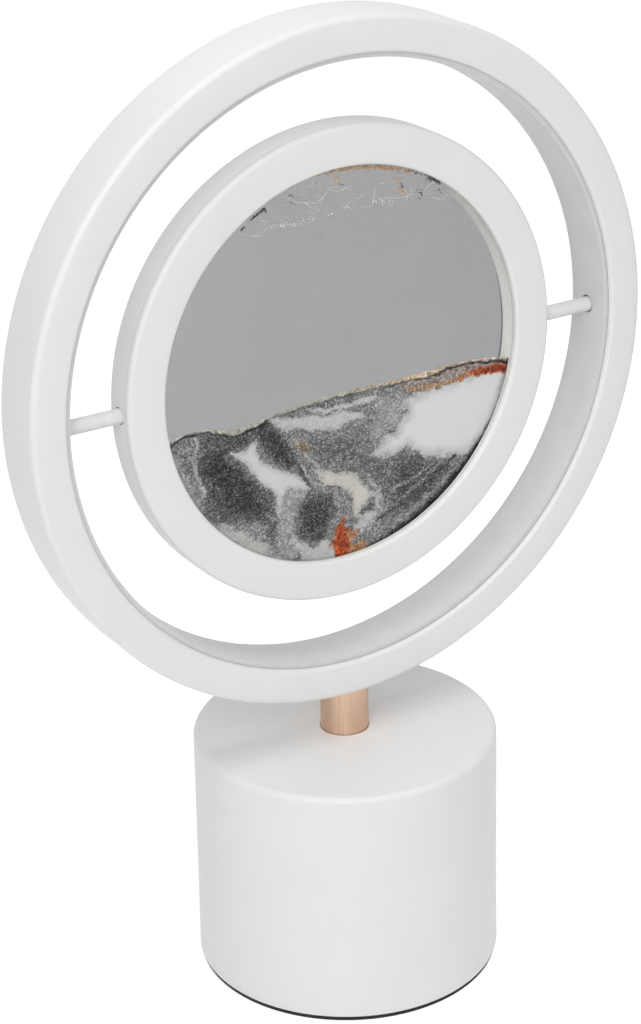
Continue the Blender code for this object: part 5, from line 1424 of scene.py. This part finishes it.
LIQUID_STEPS = 240
shape = bmesh.new()
sides = []
for side, radius in ((-1, SEAL_INNER + LIQUID_OVERLAP), (1, SEAL_REAR + LIQUID_OVERLAP)):
    line = ridge_line(side, radius, LIQUID_STEPS) + (0, LIQUID_GAP)
    start = math.atan2(line[-1][1], line[-1][0])
    finish = math.pi + math.atan2(-line[0][1], -line[0][0])
    arc = np.linspace(start, finish, LIQUID_STEPS)[1:-1]
    outline = np.concatenate([line, np.column_stack([np.cos(arc), np.sin(arc)]) * radius])
    sides.append([shape.verts.new((x, side * CELL_HALF, z + RING_CENTRE.z)) for x, z in outline])
for corners in sides:
    shape.faces.new(corners)
for index, corner in enumerate(sides[0]):
    shape.faces.new((sides[0][index - 1], corner, sides[1][index], sides[1][index - 1]))
liquid = smooth(mesh_object("liquid", shape, tinted_water()))
place_piece(liquid, "sand_frame", "liquid", "liquid")


# Froth and stranded grains
# Air bubbles that cling to the inside of the front glass below the top of the cell, in chains and thin
# films, and grains of black and rust sand that stayed up there when the frame was turned.
CLING = (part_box("rear_glass")[0].y + CELL_HALF) / 2
FLATNESS = 0.11 * MM


def air_film():
    """Air against glass, under water: tiny glossy domes, their pale silvery grey a painted reflection of
    the light that real bubbles mirror, brighter and duller from place to place.
    """
    made, tree, place = new_material("clinging_air_bubbles", Roughness=0.25, IOR=1.33)
    shine = add(tree, "ShaderNodeTexNoise", {"Vector": place, "Scale": 1 / (1.2 * MM), "Detail": 2.0})
    # painted reflection: the pale grey stands in for the light that the bubbles mirror
    colour = blend_colours(tree, shine.outputs["Fac"], hex_colour("#a0a1a1"), hex_colour("#dadad9"))
    return driven(made, Base_Color=colour)


def stray_grains(name, dark, light, size):
    """Loose silica grains, each cluster mixed from a darker and a lighter colour."""
    made, tree, place = new_material(name, Roughness=0.9, Specular_IOR_Level=0.1)
    mix = add(tree, "ShaderNodeTexNoise", {"Vector": place, "Scale": 1 / size, "Detail": 3.0})
    spread = add(
        tree, "ShaderNodeMapRange", {"Value": mix.outputs["Fac"], "From Min": 0.35, "From Max": 0.65}
    )
    colour = blend_colours(tree, spread.outputs[0], hex_colour(dark), hex_colour(light))
    return driven(made, Base_Color=colour)


def scatter_tree():
    """Geometry Nodes: strews small flattened domes along paths, at random sizes and offsets."""
    tree, start = new_group(
        "strewn_along_paths", "Domes", Paths="Object", Spacing="Float", Spread="Float", Smallest="Float",
        Largest="Float", Thickness="Float", Seed="Int", Finish="Material",
    )
    paths = add(tree, "GeometryNodeObjectInfo", {"Object": start["Paths"]})
    lines = add(tree, "GeometryNodeMeshToCurve", {"Mesh": paths.outputs["Geometry"]})
    beads = add(
        tree, "GeometryNodeResampleCurve", {"Curve": lines.outputs[0], "Length": start["Spacing"]},
        mode="LENGTH",
    )
    way = add(
        tree, "FunctionNodeRandomValue", {"Min": (-1, 0, -1), "Max": (1, 0, 1), "Seed": start["Seed"]},
        data_type="FLOAT_VECTOR",
    )
    offset = add(
        tree, "ShaderNodeVectorMath", {0: way.outputs[0], "Scale": start["Spread"]}, operation="SCALE"
    )
    moved = add(
        tree, "GeometryNodeSetPosition", {"Geometry": beads.outputs[0], "Offset": offset.outputs[0]}
    )
    sizes = []
    for axis in range(2):
        seed = add(tree, "ShaderNodeMath", {0: start["Seed"], 1: 7.0 + axis}, operation="ADD")
        between = {"Min": start["Smallest"], "Max": start["Largest"], "Seed": seed.outputs[0]}
        sizes.append(add(tree, "FunctionNodeRandomValue", between, data_type="FLOAT").outputs[1])
    size = add(
        tree, "ShaderNodeCombineXYZ", {"X": sizes[0], "Y": start["Thickness"], "Z": sizes[1]}
    )
    dome = add(tree, "GeometryNodeMeshIcoSphere", {"Radius": 1.0, "Subdivisions": 2})
    domes = add(
        tree, "GeometryNodeInstanceOnPoints",
        {"Points": moved.outputs[0], "Instance": dome.outputs[0], "Scale": size.outputs[0]},
    )
    return send_out(tree, "Domes", domes.outputs[0], start["Finish"])


SCATTERING = scatter_tree()


def arc_path(radius, start, finish, steps=24):
    """Points along the cell's rim, between two angles in degrees from the +X side."""
    angles = [math.radians(start + (finish - start) * step / steps) for step in range(steps + 1)]
    return [(radius * math.cos(angle), radius * math.sin(angle)) for angle in angles]


# Each kind: its spacing, spread, smallest and largest radius, and its paths, in millimetres from the
# middle of the window.
FROTH = {
    "bright": (0.42, 0.65, 0.10, 0.36, (
        ((-26, 49.2), (-22, 48.9), (-17, 48.2), (-12, 48.6), (-9, 48.5)), ((-5, 49.7), (-3, 49.3)),
        ((1.6, 50.4), (3.6, 50)), ((12, 50.7), (15, 50), (18, 49.6), (20, 50.2)), ((24, 49), (26, 50.4)))),
    "sparse": (1.1, 0.9, 0.10, 0.28, (
        ((-24, 50.4), (-16, 50.2), (-8, 50.6)), ((10, 49.2), (14, 48.5), (19, 48.3)), ((-16, 58),
        (-10, 59.2), (-4, 59.4)), ((-6, 54.4), (-4, 57), (4, 56)), ((27, 50), (34, 48.2), (38, 47)))),
    "films": (0.2, 0.08, 0.08, 0.17, (
        ((-34, 49.2), (-33, 48.2), (-31, 47.3), (-28, 47.2), (-25.5, 48.6)), ((-30, 51.8), (-27, 51.4),
        (-25, 50.6)), ((-18, 56.8), (-15.8, 55), (-12.5, 54.4), (-9, 53.6)), ((-12.5, 54.4), (-10.4, 52.6),
        (-7.6, 51)), ((-4.4, 57), (-5.6, 55), (-8, 53.8)), ((-4.4, 57), (-1, 55.8), (3, 56.4)),
        ((1.5, 50.2), (5, 52.8)), ((12, 51), (12.4, 53.6), (14, 55.4), (16, 55.6)), ((20.4, 50),
        (24.6, 49.6), (26, 52)), ((30.4, 50.6), (32.4, 52), (34.6, 52.4)), ((34, 48), (36, 46.6),
        (38.5, 46.6)), ((5.2, 51.4), (8.8, 53.6)))),
}
BLACK_GRAINS = {
    "patches": (0.16, 0.32, 0.14, 0.36, (
        ((-31, 52.3), (-28.6, 53.7), (-26.2, 55), (-26, 54)), ((-34.2, 50), (-33.4, 50.6)), ((31, 55.6),
        (33.6, 54.4), (36.8, 52.2)), ((32, 54.2), (34.4, 53), (36.4, 51.4)))),
    "specks": (0.32, 0.5, 0.12, 0.32, (
        ((24, 57.8), (27, 57), (30, 56)), ((31, 53.6), (33.4, 53.4)), ((28, 51), (29.6, 50), (29, 48.6)),
        ((36, 49.9), (37, 49.3)), ((0.6, 57.7), (1.6, 57.6)), ((-17.4, 57.5), (-16.4, 57.4)),
        ((-16.5, 54.8), (-16, 54.6)), ((22, 54.4), (22.6, 52)), ((18, 59.2), (18.4, 58.8)))),
}
RUST_GRAINS = {
    "crust": (0.10, 0.35, 0.12, 0.34, (arc_path(62.1, 94, 72), arc_path(62.6, 98, 66))),
    "clumps": (0.15, 0.7, 0.12, 0.36, (
        ((-2, 59.8), (0, 59.2), (0.6, 58.7)), ((19.4, 55.5), (21.8, 55.2)), ((20.4, 53), (22, 51.5),
        (23.6, 50.8)))),
    "strays": (0.5, 0.6, 0.08, 0.22, (
        ((21.4, 58), (22, 55.4), (22.4, 53.4), (22.6, 51)), ((23, 57.6), (27, 56.4)),
        arc_path(61.2, 92, 68))),
}
black = stray_grains("stray_black_grains", "#2b2b2c", "#5a5857", 0.5 * MM)
rust = stray_grains("stray_rust_grains", "#a47c4c", "#d2bda8", 0.8 * MM)
grain_sets = (
    ("froth", FROTH, air_film(), "clear_glass"),
    ("black_grains", BLACK_GRAINS, black, "sand"),
    ("rust_grains", RUST_GRAINS, rust, "sand"),
)
for seed, (name, kinds, finish, slot) in enumerate(grain_sets):
    merged = bmesh.new()
    for order, (kind, (spacing, spread, smallest, largest, paths)) in enumerate(kinds.items()):
        points, edges = [], []
        for path in paths:
            edges += [(len(points) + index, len(points) + index + 1) for index in range(len(path) - 1)]
            points += [(x * MM, 0, z * MM) for x, z in path]
        wire = bpy.data.meshes.new(kind)
        wire.from_pydata(points, edges, [])
        wire = bpy.data.objects.new(kind, wire)
        scene.collection.objects.link(wire)
        inputs = {
            "Paths": wire, "Spacing": spacing * MM, "Spread": spread * MM, "Smallest": smallest * MM,
            "Largest": largest * MM, "Thickness": FLATNESS, "Seed": 20 * seed + 5 * order,
            "Finish": finish,
        }
        domes = grow(kind + "_domes", SCATTERING, inputs)
        domes.data.transform(Matrix.Translation((0, -CLING, RING_CENTRE.z)))
        merged.from_mesh(domes.data)
        bpy.data.objects.remove(domes)
        bpy.data.objects.remove(wire)
    for corner in merged.verts:
        flat = Vector((corner.co.x, 0, corner.co.z - RING_CENTRE.z))
        if flat.length > CELL_RADIUS:
            corner.co -= flat.normalized() * (flat.length - CELL_RADIUS)
    piece = mesh_object(name, merged, finish)
    piece.data.shade_smooth()
    place_piece(piece, "sand_frame", slot)


# The set: floor, light and camera
# A plain pale floor and a white surround, soft lamps round it, the strongest from the upper left, and the
# camera at the photograph's height and angle.
SURROUND = 0.35
# Each lamp: its place, its width and its power in watts.
LAMPS = {
    "high_left": ((-0.9, -1.3, 1.1), 1.1, 12.4),
    "overhead": ((0.0, -0.3, 1.6), 1.4, 9.5),
    "left": ((-1.6, -0.5, 0.7), 1.0, 1.8),
    "behind": ((0.3, 1.3, 1.2), 1.2, 1.6),
}
FLOOR_HALF = 6.0
FLOOR_GLOW = 0.55
FLOOR_DROP = 0.05 * MM
IMAGE_HEIGHT = 1024
SENSOR = 36
FOCAL_PIXELS = 2616.7
AZIMUTH = math.radians(-31.60)
ELEVATION = math.radians(23.86)
ROLL = math.radians(-1.24)
AIM_RIGHT = -5.44 * MM
AIM_UP = -45.9 * MM
DISTANCE = 807.4 * MM
NEAREST_SEEN = 10 * MM


def seen_directly(tree):
    """1 where a surface is seen by the camera, in a reflection or through glass, and 0 for its light."""
    path = add(tree, "ShaderNodeLightPath").outputs
    mirrored = add(
        tree, "ShaderNodeMath", {0: path["Is Camera Ray"], 1: path["Is Glossy Ray"]}, operation="MAXIMUM"
    )
    seen = add(
        tree, "ShaderNodeMath", {0: mirrored.outputs[0], 1: path["Is Transmission Ray"]},
        operation="MAXIMUM",
    )
    return seen.outputs[0]


world = bpy.data.worlds.new("white_surround")
world.use_nodes = True
tree = world.node_tree
surround = tree.nodes["Background"]
surround.inputs["Color"].default_value = hex_colour("#ffffff")
strength = add(
    tree, "ShaderNodeMapRange", {"Value": seen_directly(tree), "To Min": SURROUND, "To Max": 1.0}
)
tree.links.new(strength.outputs[0], surround.inputs["Strength"])
scene.world = world

paper, tree, place = new_material(
    "pale_paper", Roughness=0.9, Specular_IOR_Level=0.0, Emission_Color=hex_colour("#ffffff")
)
fibre = add(tree, "ShaderNodeTexNoise", {"Vector": place, "Scale": 1 / (300 * MM), "Detail": 0.0})
colour = blend_colours(tree, fibre.outputs["Fac"], hex_colour("#f4f4f3"), hex_colour("#f6f6f5"))
glow = add(tree, "ShaderNodeMath", {0: seen_directly(tree), 1: FLOOR_GLOW}, operation="MULTIPLY")
driven(paper, Base_Color=colour, Emission_Strength=glow.outputs[0])
shape = bmesh.new()
bmesh.ops.create_grid(shape, x_segments=1, y_segments=1, size=FLOOR_HALF)
floor = mesh_object("floor", shape, paper)
floor.data.transform(Matrix.Translation((0, 0, -FLOOR_DROP)))

back = Vector((
    math.sin(AZIMUTH) * math.cos(ELEVATION), -math.cos(AZIMUTH) * math.cos(ELEVATION), math.sin(ELEVATION)
))
level = Vector((math.cos(AZIMUTH), math.sin(AZIMUTH), 0))
right = Matrix.Rotation(-ROLL, 3, -back) @ level
up = back.cross(right)
spot = RING_CENTRE + right * AIM_RIGHT + up * AIM_UP + back * DISTANCE
camera_data = bpy.data.cameras.new("camera")
camera_data.sensor_fit = "VERTICAL"
camera_data.sensor_height = SENSOR
camera_data.lens = SENSOR * FOCAL_PIXELS / IMAGE_HEIGHT
camera_data.clip_start = NEAREST_SEEN
camera = bpy.data.objects.new("camera", camera_data)
camera.matrix_world = Matrix((
    (right.x, up.x, back.x, spot.x), (right.y, up.y, back.y, spot.y),
    (right.z, up.z, back.z, spot.z), (0, 0, 0, 1),
))
scene.collection.objects.link(camera)
scene.camera = camera

for name, (place, size, power) in LAMPS.items():
    lamp_data = bpy.data.lights.new(name, "AREA")
    lamp_data.shape = "DISK"
    lamp_data.size = size
    lamp_data.energy = power
    lamp = bpy.data.objects.new(name, lamp_data)
    lamp.location = place
    lamp.rotation_mode = "QUATERNION"
    lamp.rotation_quaternion = (Vector(place) - RING_CENTRE).to_track_quat("Z", "Y")
    scene.collection.objects.link(lamp)

scene.view_settings.view_transform = "Standard"
